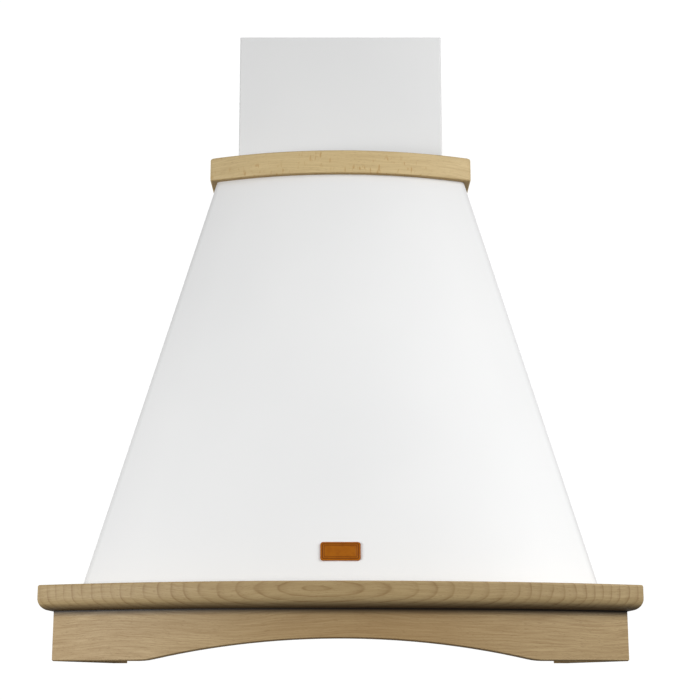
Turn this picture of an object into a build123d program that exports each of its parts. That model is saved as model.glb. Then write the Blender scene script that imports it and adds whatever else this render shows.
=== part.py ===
from build123d import *
from build123d.topology import SkipClean
import os
from dataclasses import dataclass
from math import asin, cos, degrees, hypot, pi, radians, sin, sqrt

# Wall-hung dome range hood: a white sheet-steel dome with a bowed front and a chimney cover,
# carried on a mitred beech frame whose front apron is cut to a shallow arch.
# Millimetres. X runs to the right, the wall is the plane Y = 0 and the front faces -Y.
# Heights are counted from the lower edge of the apron. The finished pieces are moved down by
# HANG_HEIGHT on export, so that the origin lies on the wall between the two hanging keyholes.
HANG_HEIGHT = 480.0

# Beech frame: apron below, cornice above it, both with the same bowed front
HOOD_WIDTH = 600.0
HOOD_DEPTH = 490.0
HOOD_BULGE = 75.0
CORNICE_THICKNESS = 25.0
CORNICE_BREADTH = 52.0
CORNICE_NOSE_RADIUS = 12.0
CORNICE_TOP_ROUND = 2.0
FRONT_SWEEP_DEG = 60.0
NOSE_SPLIT_DEG = 0.2
APRON_HEIGHT = 49.0
APRON_THICKNESS = 18.0
APRON_SETBACK = 15.0
APRON_EDGE_CHAMFER = 1.2
ARCH_RISE = 20.8
ARCH_HALF_CHORD = 196.0
ARCH_END_RADIUS = 70.0
CORNER_BLOCK_SIDE = 30.0
CORNER_BLOCK_DROP = 6.0

# Upper beech rail round the crown of the dome
RAIL_SIDE_OVERHANG = 14.0
RAIL_FRONT_OVERHANG = 17.0
RAIL_BULGE_GAIN = 3.0
RAIL_HEIGHT = 28.0
RAIL_BREADTH = 16.0
RAIL_CORNER_RADIUS = 6.0
RAIL_EDGE_ROUND = 2.5
RAIL_RISE_OVER_DOME = 2.0

# Sheet-steel dome, back panel and top plate
SHEET = 1.2
DOME_HEIGHT = 506.0
DOME_SIDE_SEAT = 13.5
DOME_FRONT_SEAT = 9.0
DOME_BULGE_LOSS = 13.0
CROWN_SIDE_LEDGE = 17.0
CROWN_FRONT_LEDGE = 43.0
DOME_CROWN_BULGE = 27.0
DOME_BEND_RADIUS = 6.0
DOME_FLANGE = 15.0
CROWN_FLANGE = 12.0
SEAT_GAP = 0.3

# Wall fixing in the back panel
KEYHOLE_SPACING = 180.0
KEYHOLE_HEAD_RADIUS = 7.0
KEYHOLE_SLOT_RADIUS = 3.5
KEYHOLE_SLOT_RISE = 13.0
LOWER_HOLE_SPACING = 300.0
LOWER_HOLE_RADIUS = 4.0
LOWER_HOLE_HEIGHT = 220.0

# Chimney cover and the extension that slides inside it
CHIMNEY_WIDTH = 245.0
CHIMNEY_DEPTH = 205.0
CHIMNEY_HEIGHT = 169.2
CHIMNEY_SHEET = 1.0
CHIMNEY_RETURN = 18.0
CHIMNEY_BEND_RADIUS = 2.0
EXTENSION_GAP = 1.5
FOOT_LENGTH = 80.0
FOOT_LEG = 20.0
FOOT_SHEET = 1.5

# Duct spigot with its two non-return flaps
DUCT_SETBACK = 2.5
SPIGOT_RADIUS = 75.0
SPIGOT_WALL = 2.0
SPIGOT_HEIGHT = 60.0
SPIGOT_FLANGE = 11.0
SPIGOT_FLANGE_THICKNESS = 2.0
FLAP_SEAT_HEIGHT = 22.0
FLAP_SEAT_BREADTH = 6.0
FLAP_SEAT_THICKNESS = 2.0
FLAP_THICKNESS = 1.6
FLAP_EDGE_GAP = 1.5
FLAP_PIN_RADIUS = 1.5
FLAP_PIN_OFFSET = 5.0
FLAP_BARREL_RADIUS = 3.0
FLAP_PIN_PLAY = 0.06

# Badge
BADGE_WIDTH = 40.0
BADGE_HEIGHT = 19.0
BADGE_THICKNESS = 2.0
BADGE_CORNER_RADIUS = 3.0
BADGE_RISE = 31.5

# Bottom pan with its two grease filters
PAN_EDGE_GAP = 0.5
PAN_HEM_HEIGHT = 8.0
FILTER_SIDE_MARGIN = 38.0
FILTER_LAMP_GAP = 14.0
FILTER_THICKNESS = 10.0
FILTER_REAR_Y = -46.0
FILTER_MIDDLE_GAP = 26.0
FILTER_SIDE_GAP = 2.0
FILTER_REAR_GAP = 4.0
FILTER_FRONT_GAP = 2.0
FILTER_DROP = 0.2
FILTER_RAIL = 12.0
FILTER_FRONT_RAIL = 30.0
FILTER_SKIN = 1.5
FILTER_LIP = 3.0
MESH_COLUMNS = 7
MESH_ROWS = 8
MESH_STRAND = 5.0
PIVOT_PIN_RADIUS = 2.5
PIVOT_PIN_SETBACK = 4.0
PIVOT_PLAY = 0.08
CRADLE_THICKNESS = 2.0
CRADLE_SIDE_GAP = 1.5
CRADLE_BREADTH = 16.0
CRADLE_FOOT = 6.5

# Filter latch
LATCH_TRAVEL = 6.0
LATCH_REACH = 5.0
LATCH_WIDTH = 35.4
LATCH_LENGTH = 11.7
LATCH_PLAY = 0.3
LATCH_FRONT_WALL = 4.0
TONGUE_WIDTH = 23.4
TONGUE_THICKNESS = 2.2
LATCH_HEIGHT = 5.0
LATCH_STEM_WIDTH = 19.0
LATCH_STEM_LENGTH = 6.0
LATCH_GRIP_WIDTH = 32.0
LATCH_GRIP_LENGTH = 13.0
LATCH_GRIP_HEIGHT = 5.2

# Lamps
LAMP_FROM_SIDE = 102.0
LENS_FRONT_GAP = 19.15
LENS_LENGTH = 112.0
LENS_BREADTH = 44.0
LENS_CORNER_RADIUS = 7.0
LENS_THICKNESS = 2.2
LENS_RIM = 4.0
LENS_WALL = 1.5
LENS_RISE = 9.0
LENS_HOLE_GAP = 0.4
LAMP_AXIS_RISE = 27.0
BULB_RADIUS = 17.5
BULB_LENGTH = 62.0
CAP_RADIUS = 6.8
CAP_LENGTH = 17.0
HOLDER_RADIUS = 13.0
HOLDER_LENGTH = 34.0
HOLDER_FOOT_BREADTH = 18.0
HOLDER_FOOT_THICKNESS = 10.0

# Slide switches
SWITCH_FROM_FRONT = 55.0
PLATE_LENGTH = 104.0
PLATE_BREADTH = 30.0
PLATE_THICKNESS = 1.5
PLATE_CORNER_RADIUS = 5.0
SWITCH_BOX_LENGTH = 92.0
SWITCH_BOX_BREADTH = 34.0
SWITCH_BOX_HEIGHT = 26.0
SWITCH_BOX_WALL = 2.0
SPEED_X = -22.0
SPEED_TRAVEL = 18.0
LIGHT_X = 28.0
LIGHT_TRAVEL = 8.0
SLIDER_STEM = 5.0
SLIDER_PLAY = 0.4
SLIDER_KNOB_LENGTH = 12.0
SLIDER_KNOB_BREADTH = 14.0
SLIDER_KNOB_HEIGHT = 6.0
SLIDER_RIBS = 3

# Blower: double-inlet scroll with the motor in its left eye
BLOWER_DROP = 177.6
SCROLL_START_RADIUS = 84.0
SCROLL_GROWTH = 12.0
SCROLL_TONGUE_TIP = 0.5
SCROLL_WALL = 2.0
SCROLL_HALF_WIDTH = 72.0
SCROLL_RIM = 5.5
SCROLL_OUTLET_RISE = 120.0
INLET_RADIUS = 58.0
INLET_LIP = 4.0
IMPELLER_RADIUS = 72.0
IMPELLER_HALF_WIDTH = 60.0
IMPELLER_DISC = 2.5
IMPELLER_RING_LENGTH = 4.0
BLADE_DEPTH = 12.0
BLADE_THICKNESS = 1.2
BLADE_COUNT = 28
BLADE_LEAN_DEG = 9.0
HUB_RADIUS = 12.0
HUB_LENGTH = 18.0
SHAFT_RADIUS = 4.0
SHAFT_PLAY = 0.05
SHAFT_LENGTH = 84.0
MOTOR_RADIUS = 42.0
MOTOR_LENGTH = 64.0
MOTOR_HUB_GAP = 5.0
MOTOR_EDGE_RADIUS = 5.0
MOTOR_BAND = 8.0
MOTOR_BAND_RISE = 2.0
BRACKET_SHEET = 2.5
BRACKET_ARMS = 3
BRACKET_ARM_WIDTH = 14.0
BRACKET_DISC_RADIUS = 26.0
BUSH_RADIUS = 6.5
BUSH_CIRCLE_RADIUS = 67.0
BUSH_BORE_RADIUS = 2.2

# Outlet transition between scroll and top plate
TRANSITION_WALL = 2.0
TRANSITION_FLANGE = 2.0
OUTLET_FLANGE = 8.0

# Electrical pieces inside the dome
TERMINAL_BOX_SIZE = (84.0, 34.0, 58.0)
TERMINAL_BOX_X = 120.0
TERMINAL_BOX_RISE = 61.0
TERMINAL_LID = 2.5
CAPACITOR_RADIUS = 15.0
CAPACITOR_LENGTH = 56.0
CAPACITOR_X = -110.0
CAPACITOR_HEIGHT = 250.0
CLIP_SHEET = 1.2
CLIP_LENGTH = 14.0
GLAND_GAP = 1.0
GLAND_Y = -30.0
GLAND_RADIUS = 9.0
GLAND_BORE_RADIUS = 4.0
GLAND_HEIGHT = 12.0
GLAND_NUT_RADIUS = 11.0
GLAND_NUT_HEIGHT = 4.0

# Screws
WOOD_SCREW_RADIUS = 1.75
WOOD_SCREW_HEAD_RADIUS = 3.5
WOOD_SCREW_HEAD = 1.8
WOOD_SCREW_LENGTH = 16.0
SHEET_SCREW_RADIUS = 1.75
SHEET_SCREW_HEAD_RADIUS = 3.6
SHEET_SCREW_HEAD = 2.0
SCREW_INSET = 8.0

# Worked-out heights and outlines
CORNICE_TOP = APRON_HEIGHT + CORNICE_THICKNESS
DOME_TOP = CORNICE_TOP + DOME_HEIGHT
RAIL_TOP = DOME_TOP + RAIL_RISE_OVER_DOME
PAN_TOP = APRON_HEIGHT
PAN_BOTTOM = PAN_TOP - SHEET
PLATE_TOP = DOME_TOP - SHEET
PLATE_BOTTOM = PLATE_TOP - SHEET
CHIMNEY_TOP = PLATE_TOP + CHIMNEY_HEIGHT
BLOWER_HEIGHT = PLATE_BOTTOM - BLOWER_DROP
BADGE_CENTRE_HEIGHT = CORNICE_TOP + BADGE_RISE
TERMINAL_BOX_HEIGHT = PAN_TOP + TERMINAL_BOX_RISE
DOME_FOOT_WIDTH = HOOD_WIDTH - 2 * (CORNICE_BREADTH - DOME_SIDE_SEAT)
DOME_FOOT_DEPTH = HOOD_DEPTH - CORNICE_BREADTH + DOME_FRONT_SEAT
DOME_CROWN_WIDTH = CHIMNEY_WIDTH + 2 * CROWN_SIDE_LEDGE
DOME_CROWN_DEPTH = CHIMNEY_DEPTH + CROWN_FRONT_LEDGE
DUCT_CENTRE_Y = -CHIMNEY_DEPTH / 2 - DUCT_SETBACK
SPIGOT_FLANGE_SIDE = 2 * (SPIGOT_RADIUS + SPIGOT_FLANGE)
GLAND_X = SPIGOT_FLANGE_SIDE / 2 + GLAND_GAP + GLAND_NUT_RADIUS
BLOWER_SCREW_LENGTH = SPIGOT_FLANGE_THICKNESS + SHEET + TRANSITION_FLANGE
FAR = 2.0 * HOOD_WIDTH
SNAP = 0.05


@dataclass
class Bow:
    """Plan outline with straight sides that run back to the wall and a bowed front."""

    half_width: float
    corner_y: float
    bulge: float

    @classmethod
    def of(cls, width, depth, bulge):
        return cls(width / 2, bulge - depth, bulge)

    @property
    def radius(self):
        return (self.half_width**2 + self.bulge**2) / (2 * self.bulge)

    @property
    def centre_y(self):
        return self.corner_y - self.bulge + self.radius

    def front_y(self, x):
        return self.centre_y - sqrt(self.radius**2 - x**2)

    def inset(self, amount):
        """The same outline moved inwards by amount, with a concentric front."""
        radius = self.radius - amount
        half_width = self.half_width - amount
        drop = sqrt(radius**2 - half_width**2)
        return Bow(half_width, self.centre_y - drop, radius - drop)

    def face(self, back_y=0.0, corner_radius=0.0):
        w, c = self.half_width, self.corner_y
        outline = make_face(
            [
                Line((-w, back_y), (-w, c)),
                ThreePointArc((-w, c), (0, c - self.bulge), (w, c)),
                Line((w, c), (w, back_y)),
                Line((w, back_y), (-w, back_y)),
            ]
        )
        if corner_radius > 0:
            outline = fillet(outline.vertices().group_by(Axis.Y)[0], corner_radius)
        return outline


CORNICE = Bow.of(HOOD_WIDTH, HOOD_DEPTH, HOOD_BULGE)
APRON = CORNICE.inset(APRON_SETBACK)
PAN_ROOM = APRON.inset(APRON_THICKNESS)
DOME_FOOT = Bow.of(DOME_FOOT_WIDTH, DOME_FOOT_DEPTH, HOOD_BULGE - DOME_BULGE_LOSS)
DOME_CROWN = Bow.of(DOME_CROWN_WIDTH, DOME_CROWN_DEPTH, DOME_CROWN_BULGE)
RAIL = Bow.of(
    DOME_CROWN_WIDTH + 2 * RAIL_SIDE_OVERHANG,
    DOME_CROWN_DEPTH + RAIL_FRONT_OVERHANG,
    DOME_CROWN_BULGE + RAIL_BULGE_GAIN,
)

# Layout of the pan: lamps and switches keep to the front boards, the filters fill the rest
LAMP_X = PAN_ROOM.half_width - LAMP_FROM_SIDE
LAMP_Y = PAN_ROOM.front_y(LAMP_X + LENS_LENGTH / 2) + LENS_FRONT_GAP + LENS_BREADTH / 2
SWITCH_Y = PAN_ROOM.front_y(0) + SWITCH_FROM_FRONT
FILTER_WIDTH = PAN_ROOM.half_width - FILTER_SIDE_MARGIN - FILTER_MIDDLE_GAP / 2
FILTER_SPACING = FILTER_WIDTH + FILTER_MIDDLE_GAP
FILTER_FRONT_Y = LAMP_Y + LENS_BREADTH / 2 + FILTER_LAMP_GAP


def dome_bow(z):
    """Plan outline of the dome's outer skin at height z."""
    share = (z - CORNICE_TOP) / DOME_HEIGHT
    pairs = zip(
        (DOME_FOOT.half_width, DOME_FOOT.corner_y, DOME_FOOT.bulge),
        (DOME_CROWN.half_width, DOME_CROWN.corner_y, DOME_CROWN.bulge),
    )
    return Bow(*(low + share * (high - low) for low, high in pairs))


def dome_solid(inset, bottom, top, back_y):
    """Tapering body inside the dome's skin, moved inwards by inset."""
    sections = []
    for z in (bottom, top):
        outline = dome_bow(z).inset(inset).face(back_y, DOME_BEND_RADIUS - inset)
        sections.append(Pos(0, 0, z) * outline)
    return loft(sections, ruled=True)


def prism(face, bottom, top):
    """Plan face carried up from bottom to top."""
    return extrude(Pos(0, 0, bottom) * face, top - bottom, dir=(0, 0, 1))


def block(x, y, z):
    """Box between pairs of limits along X, Y and Z."""
    size = [high - low for low, high in (x, y, z)]
    middle = [(high + low) / 2 for low, high in (x, y, z)]
    return Pos(*middle) * Box(*size)


def rod(start, end, radius):
    """Round bar from start to end."""
    axis = Vector(*end) - Vector(*start)
    plane = Plane(origin=start, z_dir=axis)
    return extrude(plane * Circle(radius), axis.length)


def front_wedge(bow, inner):
    """Everything ahead of the two mitre planes that run from the outer to the inner corners."""
    run_x = bow.half_width - inner.half_width
    run_y = inner.corner_y - bow.corner_y
    meet_y = bow.corner_y + bow.half_width * run_y / run_x
    far_y = bow.corner_y - (FAR - bow.half_width) * run_y / run_x
    wedge = Polygon(
        (0, meet_y),
        (-FAR, far_y),
        (-FAR, -2 * FAR),
        (FAR, -2 * FAR),
        (FAR, far_y),
        align=None,
    )
    return prism(wedge, -FAR, FAR)


def mitred(frame, bow, inner):
    """Front, left and right pieces of a bowed frame, cut at its mitres."""
    wedge = front_wedge(bow, inner)
    sides = (frame - wedge).solids().sort_by(Axis.X)
    return frame & wedge, sides[0], sides[-1]


def screw(head_radius, head, radius, length):
    """Pan-head screw that points along +Z, with its head's seat at the origin."""
    dome = Pos(0, 0, -head / 2) * Cylinder(head_radius, head)
    crown = dome.edges().sort_by(Axis.Z)[0]
    return fillet(crown, 0.6 * head) + Pos(0, 0, length / 2) * Cylinder(radius, length)


def at(places, shape):
    """The same shape set at each place, as separate solids."""
    return Compound(children=[place * shape for place in places])


def drilled(shape, places, radius, length):
    """Shape with a hole of that radius bored from each place along its +Z."""
    bit = Pos(0, 0, length / 2) * Cylinder(radius, length)
    for place in places:
        shape = shape - place * bit
    return shape


# Beech frame


def cornice_profile():
    """Section of the cornice, out along +X from its inner edge, up along +Y."""
    breadth, thickness = CORNICE_BREADTH, CORNICE_THICKNESS
    section = Pos(breadth / 2, thickness / 2) * Rectangle(breadth, thickness)
    nose = section.vertices().group_by(Axis.X)[-1].sort_by(Axis.Y)
    section = fillet(nose[0], CORNICE_NOSE_RADIUS)
    top = section.vertices().group_by(Axis.Y)[-1].sort_by(Axis.X)[-1]
    return fillet(top, CORNICE_TOP_ROUND)


def bow_bar(profile, start_deg, end_deg):
    """Cornice profile turned about the bow's centre, from one angle off the middle to another."""
    start = radians(start_deg)
    outwards, across = (sin(start), -cos(start), 0), (-cos(start), -sin(start), 0)
    plane = Plane(origin=(0, CORNICE.centre_y, APRON_HEIGHT), x_dir=outwards, z_dir=across)
    section = plane * Pos(CORNICE.radius - CORNICE_BREADTH, 0) * profile
    return revolve(section, Axis((0, CORNICE.centre_y, 0), (0, 0, 1)), end_deg - start_deg)


def make_cornice():
    """Mitred cornice boards. The front's nose keeps a seam line just short of each mitre."""
    inner = CORNICE.inset(CORNICE_BREADTH)
    wedge = front_wedge(CORNICE, inner)
    profile = cornice_profile()
    nose = CORNICE.inset(CORNICE_NOSE_RADIUS)
    split = degrees(asin(nose.half_width / nose.radius)) - NOSE_SPLIT_DEG
    with SkipClean():
        front = bow_bar(profile, -FRONT_SWEEP_DEG, -split) + bow_bar(profile, -split, split)
        front = (front + bow_bar(profile, split, FRONT_SWEEP_DEG)) & wedge
    sides = []
    for side in (-1, 1):
        plane = Plane(
            origin=(side * inner.half_width, 0, APRON_HEIGHT),
            x_dir=(side, 0, 0),
            z_dir=(0, -side, 0),
        )
        sides.append(extrude(plane * profile, side * HOOD_DEPTH) - wedge)
    return front, sides[0], sides[1]


def arch_void():
    """What the arch takes out of the front apron: an arc with softened ends."""
    crown_radius = (ARCH_HALF_CHORD**2 + ARCH_RISE**2) / (2 * ARCH_RISE) - ARCH_END_RADIUS
    share = crown_radius / (crown_radius + ARCH_END_RADIUS)
    join_x = share * ARCH_HALF_CHORD
    centre_z = ARCH_RISE - crown_radius
    join_z = centre_z + sqrt(crown_radius**2 - join_x**2)
    lead = ARCH_HALF_CHORD - join_x
    end_z = ARCH_END_RADIUS - sqrt(ARCH_END_RADIUS**2 - (lead / 2) ** 2)
    end_x = ARCH_HALF_CHORD - lead / 2
    below = -APRON_HEIGHT
    c, j = ARCH_HALF_CHORD, join_x
    face = make_face(
        [
            Line((-c, below), (-c, 0)),
            ThreePointArc((-c, 0), (-end_x, end_z), (-j, join_z)),
            ThreePointArc((-j, join_z), (0, ARCH_RISE), (j, join_z)),
            ThreePointArc((j, join_z), (end_x, end_z), (c, 0)),
            Line((c, 0), (c, below)),
            Line((c, below), (-c, below)),
        ]
    )
    return extrude(Plane.XZ * face, HOOD_DEPTH + FAR)


def on_bow(edge, bow):
    """Whether an edge lies along the bowed front."""
    places = [edge @ share for share in (0, 0.5, 1)]
    return all(abs(hypot(p.X, p.Y - bow.centre_y) - bow.radius) < SNAP for p in places)


def make_apron():
    """Three boards with a chamfered lower edge. The bowed one gets its mitres last."""
    wedge = front_wedge(APRON, PAN_ROOM)
    bend = Pos(0, APRON.centre_y) * (Circle(APRON.radius) - Circle(PAN_ROOM.radius))
    bend &= Pos(0, APRON.centre_y - APRON.radius) * Rectangle(HOOD_WIDTH, APRON.radius)
    board = prism(bend, 0, APRON_HEIGHT) - arch_void()
    lower = [edge for edge in board.edges() if max((edge @ 0).Z, (edge @ 1).Z) < APRON_HEIGHT]
    board = board.chamfer(APRON_EDGE_CHAMFER, None, [edge for edge in lower if on_bow(edge, APRON)])
    frame = prism(APRON.face() - PAN_ROOM.face(back_y=FAR), 0, APRON_HEIGHT)
    left, right = (frame - wedge).solids().sort_by(Axis.X)
    left = left.chamfer(APRON_EDGE_CHAMFER, None, left.edges().group_by(Axis.Z)[0].sort_by(Axis.X)[:1])
    right = right.chamfer(APRON_EDGE_CHAMFER, None, right.edges().group_by(Axis.Z)[0].sort_by(Axis.X)[-1:])
    return board & wedge, left, right


def make_corner_blocks():
    """Glue blocks in the two front corners, below the pan."""
    side, x, y = CORNER_BLOCK_SIDE, -PAN_ROOM.half_width, PAN_ROOM.corner_y
    corner = Polygon((x, y - side), (x + side, y - side), (x + side, y), (x, y + side), align=None)
    left = prism(corner & PAN_ROOM.face(), CORNER_BLOCK_DROP, PAN_BOTTOM)
    return Compound(children=[left, mirror(left, Plane.YZ)])


def make_rail():
    inner = RAIL.inset(RAIL_BREADTH)
    low, high = RAIL_TOP - RAIL_HEIGHT, RAIL_TOP
    block = prism(RAIL.face(0, RAIL_CORNER_RADIUS), low, high)
    layers = block.edges().group_by(Axis.Z)
    shown = layers[0].sort_by(Axis.Y)[:-1] + layers[-1].sort_by(Axis.Y)[:-1]
    block = fillet(shown, RAIL_EDGE_ROUND)
    frame = block - prism(inner.face(back_y=FAR), low - SNAP, high + SNAP)
    frame = frame - dome_solid(-SEAT_GAP, CORNICE_TOP, DOME_TOP + SEAT_GAP, FAR)
    return mitred(frame, RAIL, inner)


# Dome, back panel, top plate


def make_dome_shell():
    outer = dome_solid(0, CORNICE_TOP, DOME_TOP, -SHEET)
    hollow = dome_solid(SHEET, CORNICE_TOP + SHEET, DOME_TOP - SHEET, -2 * SHEET)
    foot_hole = DOME_FOOT.inset(DOME_FLANGE).face(-DOME_FLANGE)
    crown_hole = DOME_CROWN.inset(CROWN_FLANGE).face()
    shell = outer - hollow
    shell -= prism(foot_hole, CORNICE_TOP - SHEET, CORNICE_TOP + 2 * SHEET)
    shell -= prism(crown_hole, DOME_TOP - 2 * SHEET, DOME_TOP + SHEET)
    low, high = CORNICE_TOP + DOME_FLANGE, DOME_TOP - DOME_FLANGE
    low_x = dome_bow(low).half_width - DOME_FLANGE
    high_x = dome_bow(high).half_width - DOME_FLANGE
    rear_hole = Polygon((-low_x, low), (low_x, low), (high_x, high), (-high_x, high), align=None)
    shell -= extrude(Plane.XZ * rear_hole, 3 * SHEET)
    return drilled(shell, dome_screw_places(), WOOD_SCREW_RADIUS, 2 * SHEET)


def make_back_panel():
    """Flat sheet behind the dome, with a tongue down to the pan between the cornice's sides."""
    low_x, high_x = DOME_FOOT.half_width, dome_bow(PLATE_TOP).half_width
    face = Polygon(
        (-low_x, CORNICE_TOP),
        (low_x, CORNICE_TOP),
        (high_x, PLATE_TOP),
        (-high_x, PLATE_TOP),
        align=None,
    )
    tongue = CORNICE.half_width - CORNICE_BREADTH - SEAT_GAP
    face += Pos(0, (PAN_TOP + CORNICE_TOP) / 2) * Rectangle(2 * tongue, CORNICE_THICKNESS)
    for side in (-1, 1):
        x = side * KEYHOLE_SPACING / 2
        top = HANG_HEIGHT + KEYHOLE_SLOT_RISE
        face -= Pos(x, HANG_HEIGHT) * Circle(KEYHOLE_HEAD_RADIUS)
        face -= Pos(x, top) * Circle(KEYHOLE_SLOT_RADIUS)
        slot = Rectangle(2 * KEYHOLE_SLOT_RADIUS, KEYHOLE_SLOT_RISE)
        face -= Pos(x, (HANG_HEIGHT + top) / 2) * slot
        lower = Pos(side * LOWER_HOLE_SPACING / 2, LOWER_HOLE_HEIGHT)
        face -= lower * Circle(LOWER_HOLE_RADIUS)
    return extrude(Plane.XZ * face, SHEET)


def make_top_plate():
    outline = dome_bow(PLATE_TOP).inset(SHEET + SEAT_GAP)
    outline = outline.face(-2 * SHEET - SEAT_GAP, DOME_BEND_RADIUS)
    plate = prism(outline, PLATE_BOTTOM, PLATE_TOP)
    air = Pos(0, DUCT_CENTRE_Y) * Circle(SPIGOT_RADIUS - SPIGOT_WALL)
    plate -= prism(air, PLATE_BOTTOM - SHEET, PLATE_TOP + SHEET)
    gland = Pos(GLAND_X, GLAND_Y) * Circle(GLAND_RADIUS)
    plate -= prism(gland, PLATE_BOTTOM - SHEET, PLATE_TOP + SHEET)
    return drilled(plate, blower_screw_places(), SHEET_SCREW_RADIUS, BLOWER_SCREW_LENGTH)


# Chimney


def chimney_section(width, depth, sheet):
    """Three-sided channel, open to the wall between two return flanges."""
    bend = CHIMNEY_BEND_RADIUS
    outer = Pos(0, -depth / 2) * Rectangle(width, depth)
    outer = fillet(outer.vertices().group_by(Axis.Y)[0], bend)
    inner = Pos(0, -depth / 2) * Rectangle(width - 2 * sheet, depth - 2 * sheet)
    inner = fillet(inner.vertices().group_by(Axis.Y)[0], bend - sheet / 2)
    gap = Pos(0, -depth / 4) * Rectangle(width - 2 * CHIMNEY_RETURN, depth / 2)
    return outer - inner - gap


def chimney_screw_places():
    """Heads on the outer sides of the cover, pointing inwards."""
    places = []
    for side in (-1, 1):
        for step in (-1, 1):
            origin = (
                side * CHIMNEY_WIDTH / 2,
                DUCT_CENTRE_Y + step * (FOOT_LENGTH / 2 - 2 * SCREW_INSET),
                PLATE_TOP + FOOT_LEG / 2,
            )
            places.append(Plane(origin=origin, z_dir=(-side, 0, 0)).location)
    return places


def make_chimney_cover():
    section = chimney_section(CHIMNEY_WIDTH, CHIMNEY_DEPTH, CHIMNEY_SHEET)
    cover = prism(section, PLATE_TOP, CHIMNEY_TOP)
    return drilled(cover, chimney_screw_places(), SHEET_SCREW_RADIUS, 3 * CHIMNEY_SHEET)


def make_chimney_extension():
    shrink = CHIMNEY_SHEET + EXTENSION_GAP
    section = chimney_section(
        CHIMNEY_WIDTH - 2 * shrink, CHIMNEY_DEPTH - 2 * shrink, CHIMNEY_SHEET
    )
    bottom = PLATE_TOP + FOOT_LEG + SEAT_GAP
    return prism(Pos(0, -shrink) * section, bottom, CHIMNEY_TOP - CHIMNEY_SHEET)


def make_chimney_feet():
    feet = []
    outside = CHIMNEY_WIDTH / 2 - CHIMNEY_SHEET
    y = (DUCT_CENTRE_Y - FOOT_LENGTH / 2, DUCT_CENTRE_Y + FOOT_LENGTH / 2)
    for side in (-1, 1):
        x_out, x_leg, x_base = (
            side * outside,
            side * (outside - FOOT_SHEET),
            side * (outside - FOOT_LEG),
        )
        leg = block(sorted((x_leg, x_out)), y, (PLATE_TOP, PLATE_TOP + FOOT_LEG))
        base = block(sorted((x_base, x_out)), y, (PLATE_TOP, PLATE_TOP + FOOT_SHEET))
        feet.append(leg + base)
    feet = Compound(children=feet)
    return drilled(feet, chimney_screw_places(), SHEET_SCREW_RADIUS, 6 * CHIMNEY_SHEET)


# Duct spigot and flaps

FLAP_HEIGHT = PLATE_TOP + FLAP_SEAT_HEIGHT
SPIGOT_TOP = PLATE_TOP + SPIGOT_HEIGHT
BARREL_RISE = FLAP_BARREL_RADIUS + SEAT_GAP


def make_duct_spigot():
    centre = Pos(0, DUCT_CENTRE_Y)
    bore = SPIGOT_RADIUS - SPIGOT_WALL
    flange = centre * RectangleRounded(SPIGOT_FLANGE_SIDE, SPIGOT_FLANGE_SIDE, 2 * SCREW_INSET)
    spigot = prism(flange, PLATE_TOP, PLATE_TOP + SPIGOT_FLANGE_THICKNESS)
    spigot += prism(centre * Circle(SPIGOT_RADIUS), PLATE_TOP, SPIGOT_TOP)
    spigot -= prism(centre * Circle(bore), PLATE_TOP - SHEET, SPIGOT_TOP + SHEET)
    seat = centre * (Circle(bore) - Circle(bore - FLAP_SEAT_BREADTH))
    bridge_half = FLAP_PIN_OFFSET + FLAP_BARREL_RADIUS
    bridge = centre * (Rectangle(2 * bridge_half, 2 * bore) & Circle(bore))
    spigot += prism(seat + bridge, FLAP_HEIGHT - FLAP_SEAT_THICKNESS, FLAP_HEIGHT)
    for pin in flap_pins():
        spigot -= pin
    return drilled(spigot, blower_screw_places(), SHEET_SCREW_RADIUS, BLOWER_SCREW_LENGTH)


def flap_pins():
    z = FLAP_HEIGHT + BARREL_RISE
    pins = []
    for side in (-1, 1):
        x = side * FLAP_PIN_OFFSET
        reach = sqrt((SPIGOT_RADIUS - SPIGOT_WALL / 2) ** 2 - x**2)
        ends = ((x, DUCT_CENTRE_Y - reach, z), (x, DUCT_CENTRE_Y + reach, z))
        pins.append(rod(*ends, FLAP_PIN_RADIUS))
    return pins


def make_flap(side):
    """Half-round flap with two barrels that turn on its pin."""
    x_pin = side * FLAP_PIN_OFFSET
    z_pin = FLAP_HEIGHT + BARREL_RISE
    radius = SPIGOT_RADIUS - SPIGOT_WALL - FLAP_EDGE_GAP
    half = Rectangle(2 * radius, 2 * radius)
    half = Pos(x_pin + side * radius, 0) * half
    disc = Pos(0, DUCT_CENTRE_Y) * (Circle(radius) & half)
    bottom = FLAP_HEIGHT + SEAT_GAP
    flap = prism(disc, bottom, bottom + FLAP_THICKNESS)
    reach = sqrt(radius**2 - FLAP_PIN_OFFSET**2) - FLAP_BARREL_RADIUS
    barrel = ((x_pin, DUCT_CENTRE_Y - reach, z_pin), (x_pin, DUCT_CENTRE_Y + reach, z_pin))
    flap += rod(*barrel, FLAP_BARREL_RADIUS)
    window = block(
        (x_pin - 2 * FLAP_BARREL_RADIUS, x_pin + 2 * FLAP_BARREL_RADIUS),
        (DUCT_CENTRE_Y - reach / 2, DUCT_CENTRE_Y + reach / 2),
        (bottom - FLAP_BARREL_RADIUS, z_pin + 2 * FLAP_BARREL_RADIUS),
    )
    flap -= window
    bore = ((x_pin, DUCT_CENTRE_Y - 2 * radius, z_pin), (x_pin, DUCT_CENTRE_Y + 2 * radius, z_pin))
    return flap - rod(*bore, FLAP_PIN_RADIUS + FLAP_PIN_PLAY)


# Badge


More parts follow.
